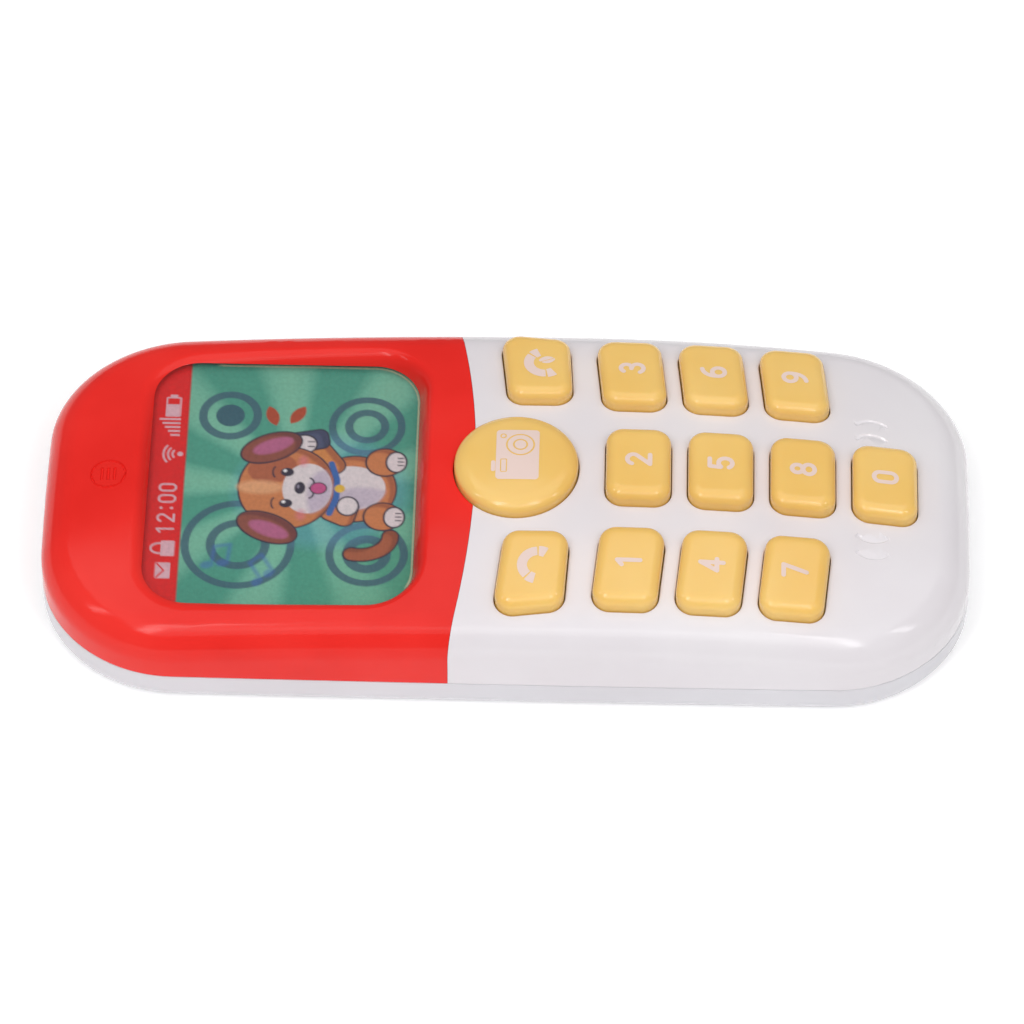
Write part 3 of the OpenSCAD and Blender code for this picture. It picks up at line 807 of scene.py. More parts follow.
CAP_FILLET = (2.1, 1.75)
BUTTON_FILLET = (3.2, 1.9)
BUTTON_DOME = 0.3
SOFT_EDGE = 0.15
CAVITY_R = 0.4
FACE_T = 1.6
FACE_RINGS = (0.92, 0.8, 0.64, 0.48, 0.32, 0.16)


def towards(loop, centre, r):
    """A circle of radius r round the centre, with one point in the direction of each point of the loop."""
    out = []
    for p in loop:
        d = Vector((p[0] - centre[0], p[1] - centre[1])).normalized() * r
        out.append((centre[0] + d.x, centre[1] + d.y))
    return out


def shrunk(loop, centre, s):
    return [(centre[0] + (x - centre[0]) * s, centre[1] + (y - centre[1]) * s) for x, y in loop]


def button_dome(x, y):
    """Extra height of the camera button towards its middle."""
    r = CAMERA_R - BUTTON_FILLET[0]
    return BUTTON_DOME * np.clip(1 - (x * x + (y - CAMERA_Y) ** 2) / r**2, 0, 1)


def key_top(x, y):
    return crown(x, y) + KEY_PROUD


def button_top(x, y):
    return key_top(x, y) - BUTTON_DOME + button_dome(x, y)


def key_foot(corners):
    """How far a key's underside lies below the crowned face."""
    return (WALL if corners else COVER_T + TRAY_GAP + TRAY_T) + FLANGE_DROP + FLANGE_T


def make_key(name, corners):
    """One hollow key: stem, hollow underside, flange, straight sides, soft fillet and face."""
    centre = key_centre(corners)
    rim_w, rim_h = CAP_FILLET if corners else BUTTON_FILLET
    top = KEY_PROUD if corners else KEY_PROUD - BUTTON_DOME
    low = -key_foot(corners)
    ceiling = KEY_PROUD - FACE_T
    side = key_loop(corners, 0)
    cavity = key_loop(corners, CAP_WALL)
    cavity_in = key_loop(corners, CAP_WALL + CAVITY_R)
    flange = key_loop(corners, -FLANGE_OUT)
    flange_in = key_loop(corners, -FLANGE_OUT + SOFT_EDGE)
    profile = [
        (towards(side, centre, STEM_R - SOFT_EDGE), low),
        (towards(side, centre, STEM_R), low + SOFT_EDGE),
        (towards(side, centre, STEM_R), ceiling - CAVITY_R),
        (towards(side, centre, STEM_R + CAVITY_R), ceiling),
        (cavity_in, ceiling),
        (cavity, ceiling - CAVITY_R),
        (cavity, low),
        (flange_in, low),
        (flange, low + SOFT_EDGE),
        (flange, low + FLANGE_T - SOFT_EDGE),
        (flange_in, low + FLANGE_T),
        (side, low + FLANGE_T),
        (side, -0.5),
    ]
    profile += [(key_loop(corners, a * rim_w), top - b * rim_h) for a, b in round_over(1, 12)]
    rows = [on_crown(loop, z) for loop, z in profile]
    face_edge = profile[-1][0]
    surface = key_top if corners else button_top
    rows += [lifted(shrunk(face_edge, centre, s), surface) for s in FACE_RINGS]
    skin = Skin()
    skin.strip(rows, closed=True)
    skin.fan(rows[0], on_crown([centre], low)[0])
    skin.fan(rows[-1], lifted([centre], surface)[0])
    return dress(skin.build(f"{name}_cap", 50), YELLOW, f"{name}_body", "yellow_key", name)


for key_name, key_corners in ALL_KEYS.items():
    make_key(key_name, key_corners)

# ---------------------------------------------------------------- printed marks
# A field gives the signed distance to a mark's edge in millimetres, negative inside. Marks are drawn
# upright: +X is their right and +Y their top.

DIGIT_STROKE = 0.4
DIGIT_X = 1.05
DIGIT_Y = 1.95


def six():
    return [
        bend(0, -0.85, 1.05, 1.1, 0, 360, 24),
        [(-DIGIT_X, -0.85)] + bend(0.85, -0.3, 1.9, 2.3, 180, 96, 10),
    ]


GLYPHS = {
    "0": [bend(0, 0.9, DIGIT_X, 1.05, 0, 180) + bend(0, -0.9, DIGIT_X, 1.05, 180, 360) + [(DIGIT_X, 0.9)]],
    "1": [[(-0.75, 1.2), (0.2, DIGIT_Y), (0.2, -DIGIT_Y)]],
    "2": [bend(0, 0.9, DIGIT_X, 1.05, 165, -25) + [(-DIGIT_X, -DIGIT_Y), (DIGIT_X, -DIGIT_Y)]],
    "3": [bend(0, 1, 0.95, 0.95, 150, -80), bend(0, -0.9, DIGIT_X, 1.05, 95, -155)],
    "4": [[(1.15, -0.85), (-1.15, -0.85), (0.45, DIGIT_Y), (0.45, -DIGIT_Y)]],
    "5": [[(0.9, DIGIT_Y), (-0.8, DIGIT_Y), (-0.95, 0.15)] + bend(0, -0.75, 1.08, 1.2, 140, -150)],
    "6": six(),
    "7": [[(-DIGIT_X, DIGIT_Y), (DIGIT_X, DIGIT_Y), (-0.25, -DIGIT_Y)]],
    "8": [bend(0, 1.02, 0.88, 0.93, 0, 360, 24), bend(0, -0.95, 1.08, 1.0, 0, 360, 24)],
    "9": [[(-x, -y) for x, y in line] for line in six()],
}


def stroked(lines, r):
    """Field of round-ended strokes of half-width r along the lines."""

    def field(x, y):
        best = np.full(np.shape(x), 1e9)
        for line in lines:
            for (ax, ay), (bx, by) in zip(line, line[1:]):
                dx, dy = bx - ax, by - ay
                length = max(dx * dx + dy * dy, 1e-9)
                t = np.clip(((x - ax) * dx + (y - ay) * dy) / length, 0, 1)
                best = np.minimum(best, np.hypot(x - ax - t * dx, y - ay - t * dy))
        return best - r

    return field


def boxed(cx, cy, w, h, r):
    """Field of a rounded rectangle."""

    def field(x, y):
        qx, qy = abs(x - cx) - w / 2 + r, abs(y - cy) - h / 2 + r
        return np.hypot(np.maximum(qx, 0), np.maximum(qy, 0)) + np.minimum(np.maximum(qx, qy), 0) - r

    return field


def oval(cx, cy, rx, ry, turn=0.0):
    """Field of an ellipse, turned anticlockwise by an angle in degrees."""
    c, s = math.cos(math.radians(turn)), math.sin(math.radians(turn))

    def field(x, y):
        u, v = (x - cx) * c + (y - cy) * s, (y - cy) * c - (x - cx) * s
        k = np.hypot(u / rx, v / ry)
        slope = np.hypot(u / rx**2, v / ry**2)
        return k * (k - 1) / np.maximum(slope, 1e-6)

    return field


def hollow(field, width):
    """Field of a line of some width along another field's edge."""
    return lambda x, y: abs(field(x, y)) - width / 2


def joined(*fields):
    return lambda x, y: np.minimum.reduce([f(x, y) for f in fields])


def without(field, *others):
    return lambda x, y: np.maximum.reduce([field(x, y)] + [-f(x, y) for f in others])


def common(*fields):
    return lambda x, y: np.maximum.reduce([f(x, y) for f in fields])


def placed(field, cx, cy, turn=0.0, size=1.0):
    """A field moved to a place, turned and scaled."""
    c, s = math.cos(math.radians(turn)), math.sin(math.radians(turn))
    return lambda x, y: size * field(
        ((x - cx) * c + (y - cy) * s) / size,
        ((y - cy) * c - (x - cx) * s) / size,
    )


def handset(bow=2.75, half=0.85):
    """Field of a telephone handset that arches upwards, with a thin gap before each end block."""

    def field(x, y):
        radial = abs(np.hypot(x, y) - bow)
        along = abs(np.arctan2(x, y)) * bow
        grip = np.maximum(radial - half, along - 3.15)
        ends = np.maximum(radial - half - 0.15, abs(along - 4.05) - 0.62)
        return np.minimum(grip, ends)

    return field


def leaf(length, width):
    """Field of a pointed leaf that lies along Y."""
    r = (length * length + width * width) / (4 * width)
    offset = r - width / 2
    return common(oval(offset, 0, r, r), oval(-offset, 0, r, r))


def camera_mark():
    """Field of a simple camera: a body with lens rings, a viewfinder line, a dot and a shutter button."""
    body = boxed(-0.2, 0, 11.1, 7.4, 0.7)
    gaps = [
        hollow(oval(1.9, -0.45, 2.35, 2.35), 0.3),
        hollow(oval(1.9, -0.45, 1.15, 1.15), 0.3),
        hollow(oval(3.9, 2.5, 0.45, 0.45), 0.25),
        hollow(boxed(-2.8, 2.35, 2.7, 1.0, 0.15), 0.2),
    ]
    return joined(without(body, *gaps), boxed(-2.9, 4.15, 2.3, 0.7, 0.3))


def decal(name, field, box, height, step=0.13, rise=0.025, depth=0.06):
    """A thin closed print: the inside of a field over a plan box (x0, x1, y0, y1), laid on a surface."""
    x0, x1, y0, y1 = box
    nx, ny = round((x1 - x0) / step), round((y1 - y0) / step)
    xs, ys = np.linspace(x0, x1, nx + 1), np.linspace(y0, y1, ny + 1)
    value = field(*np.meshgrid(xs, ys, indexing="ij"))
    value = np.where(abs(value) < step * 0.06, -step * 0.06, value)
    plan, index, faces = [], {}, []

    def point(a, b):
        """Index of a grid point, or of the place between two where the edge runs."""
        key = (min(a, b), max(a, b))
        if key not in index:
            index[key] = len(plan)
            p, q = (np.array((xs[k[0]], ys[k[1]])) for k in key)
            va, vb = value[key[0]], value[key[1]]
            t = 0 if a == b else va / (va - vb)
            plan.append(tuple(p + (q - p) * t))
        return index[key]

    for i, j in zip(*np.where(value[:-1, :-1] < step * 3)):
        c = [(i, j), (i + 1, j), (i + 1, j + 1), (i, j + 1)]
        for tri in ((c[0], c[1], c[2]), (c[0], c[2], c[3])):
            poly = []
            for a, b in zip(tri, tri[1:] + tri[:1]):
                if value[a] < 0:
                    poly.append(point(a, a))
                if (value[a] < 0) != (value[b] < 0):
                    poly.append(point(a, b))
            if len(poly) > 2:
                faces.append(poly)
    used = dict.fromkeys((a, b) for poly in faces for a, b in zip(poly, poly[1:] + poly[:1]))
    rim = [(a, b) for a, b in used if (b, a) not in used]
    n = len(plan)
    skin = Skin()
    skin.points = lifted(plan, height, rise) + lifted(plan, height, -depth)
    skin.faces = [tuple(f) for f in faces] + [tuple(n + i for i in reversed(f)) for f in faces]
    skin.faces += [(b, a, n + a, n + b) for a, b in rim]
    return skin.build(name, 38, step * 0.015)


def key_print(name, field, corners, half_x, half_y, surface=key_top):
    cx, cy = key_centre(corners)
    box = (cx - half_x, cx + half_x, cy - half_y, cy + half_y)
    mark = decal(f"{name}_print", placed(field, cx, cy), box, surface)
    return dress(mark, PRINT, f"{name}_body", "printed_card")


HANDSETS = {
    "key_call": placed(handset(), -0.2, -1.0, -20),
    "key_end": joined(
        placed(handset(), 0.1, -1.1, 29),
        without(placed(leaf(2.9, 1.7), 0.75, -1.5, 8), stroked([[(0.2, -0.4), (1.1, -2.6)]], 0.09)),
    ),
}
CAMERA_MARK_AT = (0.9, -0.2)

for n in range(10):
    key_print(f"key_{n}", stroked(GLYPHS[str(n)], DIGIT_STROKE), ALL_KEYS[f"key_{n}"], 1.9, 2.6)
for key_name, mark_field in HANDSETS.items():
    key_print(key_name, mark_field, ALL_KEYS[key_name], 4.6, 3.9)
key_print("key_camera", placed(camera_mark(), *CAMERA_MARK_AT), [], 7.4, 5.4, button_top)

# ---------------------------------------------------------------- picture and lens

CARD_W = 56.8
CARD_L = 49.2
CARD_R = 9.2
CARD_Z = (14.2, 14.5)
CARD_STEP = 0.21
LENS_W = 57
LENS_L = 49.4
LENS_R = 9.3
STRIP_Y = 55.9
STATUS_Y = 58.6
VIEW_SHIFT = 0.9
PUPPY_AT = (-0.8, 33.5)
INK = "33263a"
SLATE = "3d5c6e"


class Canvas:
    """Colours at the points of a plan grid, painted with fields."""

    def __init__(self, x, y, colour):
        self.x, self.y = x, y
        self.rgb = np.tile(np.array(rgb(colour)[:3]), (*x.shape, 1))

    def fill(self, field, colour, soft=0.12, strength=1.0):
        cover = strength * np.clip(0.5 - field(self.x, self.y) / (2 * soft), 0, 1)[..., None]
        self.rgb = self.rgb * (1 - cover) + np.array(rgb(colour)[:3]) * cover

    def shape(self, field, colour, shade=None, line=0.34):
        """A filled shape with a dark outline and, where given, a darker lower right side."""
        self.fill(lambda x, y: field(x, y) - line, INK)
        self.fill(field, colour)
        if shade:
            self.fill(without(field, placed(field, -0.7, 0.9)), shade, 0.25, 0.8)


def paint_background(c):
    """Teal rays that spread from the middle, with rings and dots like little loudspeakers."""
    angle = np.arctan2(c.y - 36, c.x)
    ray = np.sin(angle * 9 + 0.6)
    reach = np.clip(np.hypot(c.x, c.y - 36) / 34, 0, 1)
    c.fill(lambda x, y: -ray * 0.5, "6fb39a", 0.2, 0.95)
    c.fill(lambda x, y: -ray * 0.5 + 0.35, "8cc6a8", 0.2, 0.4)
    c.fill(lambda x, y: (y - 24) / 12 + (x + 14) / 16, "5ba681", 0.9, 0.45)
    c.rgb *= (1.06 - 0.16 * reach)[..., None]
    rings = [
        (15.3, 48.6, 5.5, 4.0), (13.4, 24.7, 6.7, 5.35), (13.4, 24.7, 3.85, 2.4),
        (-13.7, 45.9, 9.8, 8.4), (-13.7, 45.9, 5.5, 3.95),
        (-15.3, 23.7, 7.1, 5.7), (-15.3, 23.7, 4.2, 2.4),
    ]
    for x, y, far, near in rings:
        mid = (far + near) / 2
        c.fill(hollow(oval(x + VIEW_SHIFT, y, mid, mid), far - near), SLATE, 0.1, 0.88)
    c.fill(oval(15.3 + VIEW_SHIFT, 48.6, 2.5, 2.5), "345668", 0.1, 0.95)
    note = [[(0, 0), (0, 4.2), (2.6, 4.9), (2.6, 0.7)]]
    for x, y, turn in ((-20.5, 41.5, -60), (-17.5, 50.2, -95)):
        mark = joined(stroked(note, 0.35), oval(-0.8, 0, 1.15, 0.8, 20), oval(1.8, 0.7, 1.15, 0.8, 20))
        c.fill(placed(mark, x, y, turn), "4468b4", 0.3, 0.5)


def paint_puppy(c):
    """A plain floppy-eared puppy that sits, holds a toy phone and smiles. Its head points to the top end."""
    x0, y0 = PUPPY_AT
    fur, dark_fur, cream, pink = "c97a4a", "9c5238", "ddd0d2", "b9628c"

    def put(field):
        return placed(field, x0 + VIEW_SHIFT, y0)

    c.fill(put(oval(-0.6, -1.5, 12.5, 15)), "6da6cf", 1.6, 0.28)
    c.shape(put(stroked([bend(-10.5, -8.5, 4.2, 5.2, 270, 165)], 1.25)), "a65a3c", "84442f")
    c.shape(put(oval(0, -7.2, 7.2, 7.0)), fur, dark_fur)
    c.fill(put(oval(0.2, -6.6, 4.9, 5.9)), cream)
    c.fill(put(common(oval(0.2, -6.6, 4.9, 5.9), oval(-4.2, -8.5, 4.6, 7))), "b7a6bb", 0.5, 0.7)
    for side in (-1, 1):
        c.shape(put(oval(side * 6.1, -12.2, 2.9, 3.1)), fur, dark_fur)
        c.shape(put(oval(side * 6.2, -14.2, 2.1, 1.6)), cream)
        for toe in (-0.7, 0.1, 0.9):
            c.fill(put(stroked([[(side * 6.2 + toe, -15.4), (side * 6.2 + toe, -14.5)]], 0.12)), INK)
    c.shape(put(stroked([[(5.2, -3.5), (9.4, -0.5), (9.8, 2.4)]], 1.7)), "cf8346", dark_fur)
    c.shape(put(stroked([[(-5.4, -3.2), (-6.6, -5.6), (-4.2, -6.2)]], 1.6)), fur, dark_fur)
    c.shape(put(oval(-3.9, -6.1, 1.9, 1.7)), cream)
    c.shape(put(placed(boxed(0, 0, 4.0, 7.6, 1.3), 10.6, 1.6, 12)), "4c4f6d", "3b3c58")
    c.fill(put(placed(boxed(0.3, 1.6, 2.2, 2.4, 0.4), 10.6, 1.6, 12)), "6f86a8")
    c.shape(put(oval(9.9, 1.9, 1.9, 2.0)), cream)
    for dx in (-0.5, 0.6):
        c.fill(put(stroked([[(9.9 + dx, 0.2), (9.9 + dx, 1.2)]], 0.12)), INK)
    c.shape(put(oval(0, 4.6, 9.0, 8.2)), fur, dark_fur)
    c.fill(put(oval(4.3, 7.2, 3.3, 4.3, 15)), "a9583c", 0.2, 0.9)
    c.fill(put(oval(0, 9.2, 1.5, 4.0)), "e3a678", 0.5, 0.8)
    c.fill(put(oval(-0.1, 1.0, 5.6, 4.3)), cream)
    c.fill(put(common(oval(-0.1, 1.0, 5.6, 4.3), oval(-1.6, -1.6, 5.6, 2.6))), "b5a2bb", 0.5, 0.7)
    for side in (-1, 1):
        ear = placed(oval(0, 0, 2.9, 5.4, side * 24), side * 9.0, 7.6)
        c.shape(put(ear), "8d4a3c", "6d3434")
        c.fill(put(placed(oval(0, 0, 1.5, 3.7, side * 24), side * 9.4, 7.3)), pink, 0.3, 0.85)
        c.fill(put(oval(side * 3.5, 4.6, 0.95, 1.15)), INK)
        c.fill(put(oval(side * 3.5 + 0.3, 5.0, 0.32, 0.32)), "f2eef0")
        c.fill(put(stroked([bend(side * 3.5, 6.4, 1.3, 0.7, 30, 150)], 0.15)), INK)
        c.fill(put(oval(side * 6.0, 1.9, 1.2, 0.8)), "d8708a", 0.5, 0.5)
        c.fill(put(stroked([bend(side * 1.15, 0.9, 1.15, 1.0, 200, 340)], 0.17)), INK)
    c.shape(put(oval(0, -0.9, 1.15, 1.3)), "c24d84", line=0.22)
    c.fill(put(oval(0, 2.3, 1.35, 0.95)), INK)
    c.fill(put(oval(0.3, 2.6, 0.4, 0.2)), "8b8296")
    c.fill(put(stroked([[(-5.6, -3.0), (-2, -4.1), (2, -4.1), (5.6, -3.0)]], 0.55)), "3a63a8")
    c.fill(put(oval(0, -4.6, 0.9, 0.9)), "e0b23e")
    for x, y, turn in ((16.3, 41.2, 18), (16.6, 36.8, -32)):
        c.fill(placed(leaf(4.6, 2.2), x, y, turn - 90), "ad4426")


def paint_status(c):
    """The red bar with a clock, an envelope, a padlock, radio waves, signal bars and a battery."""
    c.fill(lambda x, y: STRIP_Y - y, "dd1013", 0.08)
    c.fill(lambda x, y: abs(y - STRIP_Y) - 0.12, "a8252c", 0.08, 0.7)
    pale = "d9aab4"
    flap = stroked([[(-21.3, 59.5), (-19.8, 58.3), (-18.3, 59.5)]], 0.15)
    bars = [boxed(10.6 + 0.9 * i, 58 + 0.26 * i, 0.42, 1.6 + 0.52 * i, 0.05) for i in range(5)]
    marks = [
        without(boxed(-19.8, 58.5, 3.5, 2.6, 0.25), flap),
        boxed(-14.9, 57.9, 3.4, 2.4, 0.25),
        common(hollow(oval(-14.9, 59.3, 1.1, 1.5), 0.4), lambda x, y: 59 - y),
        oval(6.3, 56.9, 0.5, 0.5),
        joined(*bars),
        hollow(boxed(17.0, STATUS_Y, 4.2, 2.4, 0.15), 0.28),
        boxed(16.3, STATUS_Y, 2.6, 2.2, 0.1),
        boxed(19.5, STATUS_Y, 0.6, 1.3, 0.15),
        oval(-5.9, STATUS_Y - 0.9, 0.28, 0.28),
        oval(-5.9, STATUS_Y + 0.9, 0.28, 0.28),
    ]
    for r in (1.3, 2.1, 2.9):
        ring = hollow(oval(6.3, 56.9, r, r), 0.36)
        marks.append(common(ring, lambda x, y: abs(x - 6.3) * 0.75 - (y - 56.9) * 0.65))
    for digit, x in (("1", -10.7), ("2", -8.1), ("0", -3.8), ("0", -1.3)):
        marks.append(placed(stroked(GLYPHS[digit], 0.28), x, STATUS_Y, 0, 0.72))
    for mark in marks:
        c.fill(placed(mark, VIEW_SHIFT, 0), pale, 0.09)


def paint_cut_edge(c):
    """Painted highlight: a pale line along the window's far side and lower end, where the card's cut edge
    catches the light.
    """
    edge = boxed(VIEW_SHIFT, SCREEN_Y, SCREEN_W - 0.5, SCREEN_L - 0.5, SCREEN_CORNER_R)
    # lit holds the painted highlight to the far side and the lower end, fading out towards the near side and
    # short of the red bar.
    lit = common(lambda x, y: 0.8 - x / 13 + (y - SCREEN_Y) / 9, lambda x, y: y - STRIP_Y + 0.1)
    c.fill(common(hollow(edge, 0.3), lit), "e8dfb6", 0.1, 0.85)


def make_picture_card():
    """The printed card as a closed sheet with its picture as a colour layer."""
    n = round(CARD_W / CARD_STEP)
    rows = []
    for y in np.linspace(-CARD_L / 2, CARD_L / 2, round(CARD_L / CARD_STEP) + 1):
        over = max(abs(y) - (CARD_L / 2 - CARD_R), 0)
        half = CARD_W / 2 - CARD_R + math.sqrt(CARD_R**2 - over**2)
        rows.append([(x, SCREEN_Y + y) for x in np.linspace(-half, half, n + 1)])
    grid = np.array(rows)
    canvas = Canvas(grid[..., 0], grid[..., 1], "4c9a84")
    paint_background(canvas)
    paint_puppy(canvas)
    paint_status(canvas)
    paint_cut_edge(canvas)
    skin = Skin()
    skin.strip([at(row, CARD_Z[1]) for row in rows])
    rim = rows[0] + [row[-1] for row in rows[1:]] + rows[-1][-2::-1] + [row[0] for row in rows[-2:0:-1]]
    skin.strip([at(rim, CARD_Z[1]), at(rim, CARD_Z[0])], closed=True)
    skin.fan(at(rim, CARD_Z[0]), (0, SCREEN_Y, CARD_Z[0]))
    card = skin.build("picture_card", 30, 0.0005)
    look = card.data.color_attributes.new("picture", "FLOAT_COLOR", "POINT")
    ys = grid[:, 0, 1]
    halves = grid[:, -1, 0]
    for k, v in enumerate(card.data.vertices):
        x, y = v.co.x / MM, v.co.y / MM
        j = int(np.clip(round((y - ys[0]) / (ys[1] - ys[0])), 0, len(ys) - 1))
        i = int(np.clip(round((x / halves[j] + 1) / 2 * n), 0, n))
        look.data[k].color = (*canvas.rgb[j, i], 1)
    return dress(card, PICTURE, "casing", "printed_card", "screen_print")


def make_lens():
    """The clear window over the card, with a small chamfer round its face."""
    low = CARD_Z[1] + 0.02

    def outline(inset):
        return corner_loop(LENS_W - 2 * inset, LENS_L - 2 * inset, LENS_R - inset, SCREEN_Y)

    rows = [at(corner_loop(LENS_W - 0.5, LENS_L - 0.5, 9.1, SCREEN_Y), low), at(outline(0), low + 0.18)]
    rows += [at(outline(a / 2), LENS_Z - b) for a, b in round_over(0.25, 4)]
    rows += [at(shrunk(outline(0.25), (0, SCREEN_Y), s), LENS_Z) for s in (0.8, 0.5)]
    skin = Skin()
    skin.capped(rows)
    return dress(skin.build("screen_window", 38), CLEAR, "casing", "clear_lens", "screen_lens")


make_picture_card()
make_lens()

# ---------------------------------------------------------------- back of the casing

DOOR_MID = (DOOR_Y0 + DOOR_Y1) / 2
DOOR_L = DOOR_Y1 - DOOR_Y0
RIDGE_TOP = 7.4
BAY_W = 22.4
BAY_Y = (14.2, 64.8)
BAY_TOP = 12.4
BAY_WALL = 1.2
FRAME_Z = (1.8, 2.8)
TAB_X = 7
NOTCH_HALF = 3
NOTCH_Y = 69.2
NOTCH_TOP = 4.8
BOX_ROOF = 0.6
SCREW_SEAT = 5
BOSS_TOP = 8
GRILLE_PITCH = 4
WELL_R = 2.8
RIM_T = 0.25
DOOR_WELL_R = 2.9
DOOR_WELL_TOP = 1.5
BLOCK_Y = 9.25
HOOK_Y = 65.0
THREAD_PITCH = 0.8
# Shares of a screw's head radius, head height and shank radius
CROSS_ARM = 0.56
CROSS_HALF = 0.12
CROSS_TAPER = 0.75
CROSS_DEPTH = 0.55
CORE_R = 0.8


def flat(z):
    """Height function of a flat face."""
    return lambda x, y: np.full(np.shape(x), float(z))


def grille_places():
    places = [(0, SPEAKER_Y)]
    for ring in (1, 2):
        places += circle(0, SPEAKER_Y, ring * GRILLE_PITCH, ring * 6)
    return places


def tube(name, places, profile, n=40):
    """Closed turned rings, one at each place, from a closed profile of (radius, height)."""
    skin = Skin()
    for x, y in places:
        skin.strip([at(circle(x, y, r, n), z) for r, z in profile + profile[:1]], closed=True)
    return skin.build(name, 38)


def door_opening(out):
    w, l = DOOR_W + 2 * (DOOR_GAP + out), DOOR_L + 2 * (DOOR_GAP + out)
    return rounded_rect(w, l, DOOR_CORNER_R + out, DOOR_MID, 8)


def switch_slot(out):
    return corner_loop(6.8 + 2 * out, 2.8 + 2 * out, 0.7 + out, SWITCH_Y, SWITCH_X)


def make_back_shell():
    """Rounded tray with a ridge inside its rim, the door opening, screw wells, grille and switch slot."""
    openings = [door_opening, switch_slot]
    openings += [lambda out, p=p: circle(*p, WELL_R + out, 36) for p in CASING_SCREWS]
    openings += [lambda out, p=p: circle(*p, 1 + out, 18) for p in grille_places()]
    skin = Skin()
    lips = round_over(0.2, 3)[::-1]
    skin.sheet(whole_outline(BACK_EDGE_R), [hole(lips[0][0]) for hole in openings], 3, flat(0))
    skin.sheet(whole_outline(WALL + 1.5), [hole(0) for hole in openings], 3, flat(WALL))
    for hole in openings:
        skin.strip([at(hole(a), b) for a, b in lips] + [at(hole(0), WALL)], closed=True)
    rows = [at(whole_outline(a), b) for a, b in reversed(round_over(BACK_EDGE_R, 9))]
    rows += [at(whole_outline(a), PART_Z - b) for a, b in round_over(RIM_T, 3)]
    inner = [(WALL + 0.2, PART_Z), (WALL + 0.2, RIDGE_TOP), (WALL + 1, RIDGE_TOP), (WALL + 1, WALL + 0.5)]
    rows += [at(whole_outline(a), z) for a, z in inner + [(WALL + 1.15, WALL + 0.15), (WALL + 1.5, WALL)]]
    skin.strip(rows, closed=True)
    return dress(skin.build("back_shell_body"), SHADED_BACK_WHITE, "casing", "white_shell", "back_shell")


def make_casing_bosses():
    """Screw towers, the ring that holds the speaker and the pillar that takes the door's screw."""
    tower = [(2.79, 1.7), (3.8, 1.7), (3.8, 7.8), (3.6, BOSS_TOP), (1.5, BOSS_TOP), (1.4, 7.8)]
    tower += [(1.4, SCREW_SEAT), (2.79, SCREW_SEAT)]
    ring = [(14.3, 1.7), (15.5, 1.7), (15.5, 4.4), (15.3, 4.6), (14.5, 4.6), (14.3, 4.4)]
    pillar = [(1.15, 3.4), (3.0, 3.4), (3.25, 3.65), (3.25, 8.9), (3.05, 9.1), (1.3, 9.1), (1.15, 8.95)]
    made = [
        tube("screw_towers", CASING_SCREWS, tower),
        tube("speaker_ring", [(0, SPEAKER_Y)], ring, 72),
        tube("door_screw_pillar", [(0, DOOR_SCREW_Y)], pillar),
    ]
    for piece in made:
        dress(piece, SHADED_BACK_WHITE, "casing", "white_shell", "back_shell")


def bay_loop(out):
    """Outline of the battery bay, moved outwards, with its lower height at each point."""
    x, y0, y1 = BAY_W / 2 + out, BAY_Y[0] - out, BAY_Y[1] + out
    low = FRAME_Z[0] + 0.5
    loop = [(x, y, low) for y in steps(y0, y1, 12)]
    for middle in (TAB_X, -TAB_X):
        a, b = middle + NOTCH_HALF, middle - NOTCH_HALF
        loop += [(a, y1, low), (a, y1, NOTCH_TOP), (b, y1, NOTCH_TOP), (b, y1, low)]
    loop += [(-x, y, low) for y in steps(y1, y0, 12)]
    return loop + [(v, y0, low) for v in steps(-x, x, 6)[1:-1]]


def make_battery_bay():
    """The frame round the door opening and the box that holds the two cells."""
    half, (near, far) = BAY_W / 2, BAY_Y
    notch = []
    for a, b in ((m + NOTCH_HALF, m - NOTCH_HALF) for m in (TAB_X, -TAB_X)):
        notch += [(a, far), (a, NOTCH_Y), (b, NOTCH_Y), (b, far)]
    hole = dense([(-half, near), (half, near), (half, far)] + notch + [(-half, far)], 3)
    pocket = corner_loop(9.2, 7, 1, 9.3)
    outer = rounded_rect(31, 66, 2, 36.9, 6)
    frame = Skin()
    for z in FRAME_Z:
        frame.sheet(outer, [hole, pocket], 4, flat(z))
    for loop in (outer, hole, pocket):
        frame.strip([at(loop, z) for z in FRAME_Z], closed=True)
    dress(frame.build("battery_frame"), SHADED_BACK_WHITE, "casing", "white_shell", "back_shell")
    inner, wall = bay_loop(0), bay_loop(BAY_WALL)
    box = Skin()
    box.strip([inner, wall], closed=True)
    for loop, top in ((wall, BAY_TOP + BOX_ROOF), (inner, BAY_TOP)):
        lid = [(x, y, top) for x, y, _ in loop]
        box.strip([loop, lid], closed=True)
        box.fan(lid, (0, (near + far) / 2, top))
    made = box.build("battery_box", 38, 0.0005)
    return dress(made, SHADED_BACK_WHITE, "casing", "white_shell", "back_shell")


def grooved(cx, cy, count, pitch, length, width, depth):
    """A height function for a flat underside with grooves across it, and the plan creases that they need."""
    places = [cy + (i - (count - 1) / 2) * pitch for i in range(count)]
    slots = [rounded_rect(length, width, width * 0.45, y, 4, cx) for y in places]
    creases = [offset_loop(s, d) for s in slots for d in (0.07, -0.07)]
    return lambda x, y: depth * sum(inside(s, np.stack([x, y], 1)) for s in slots), creases


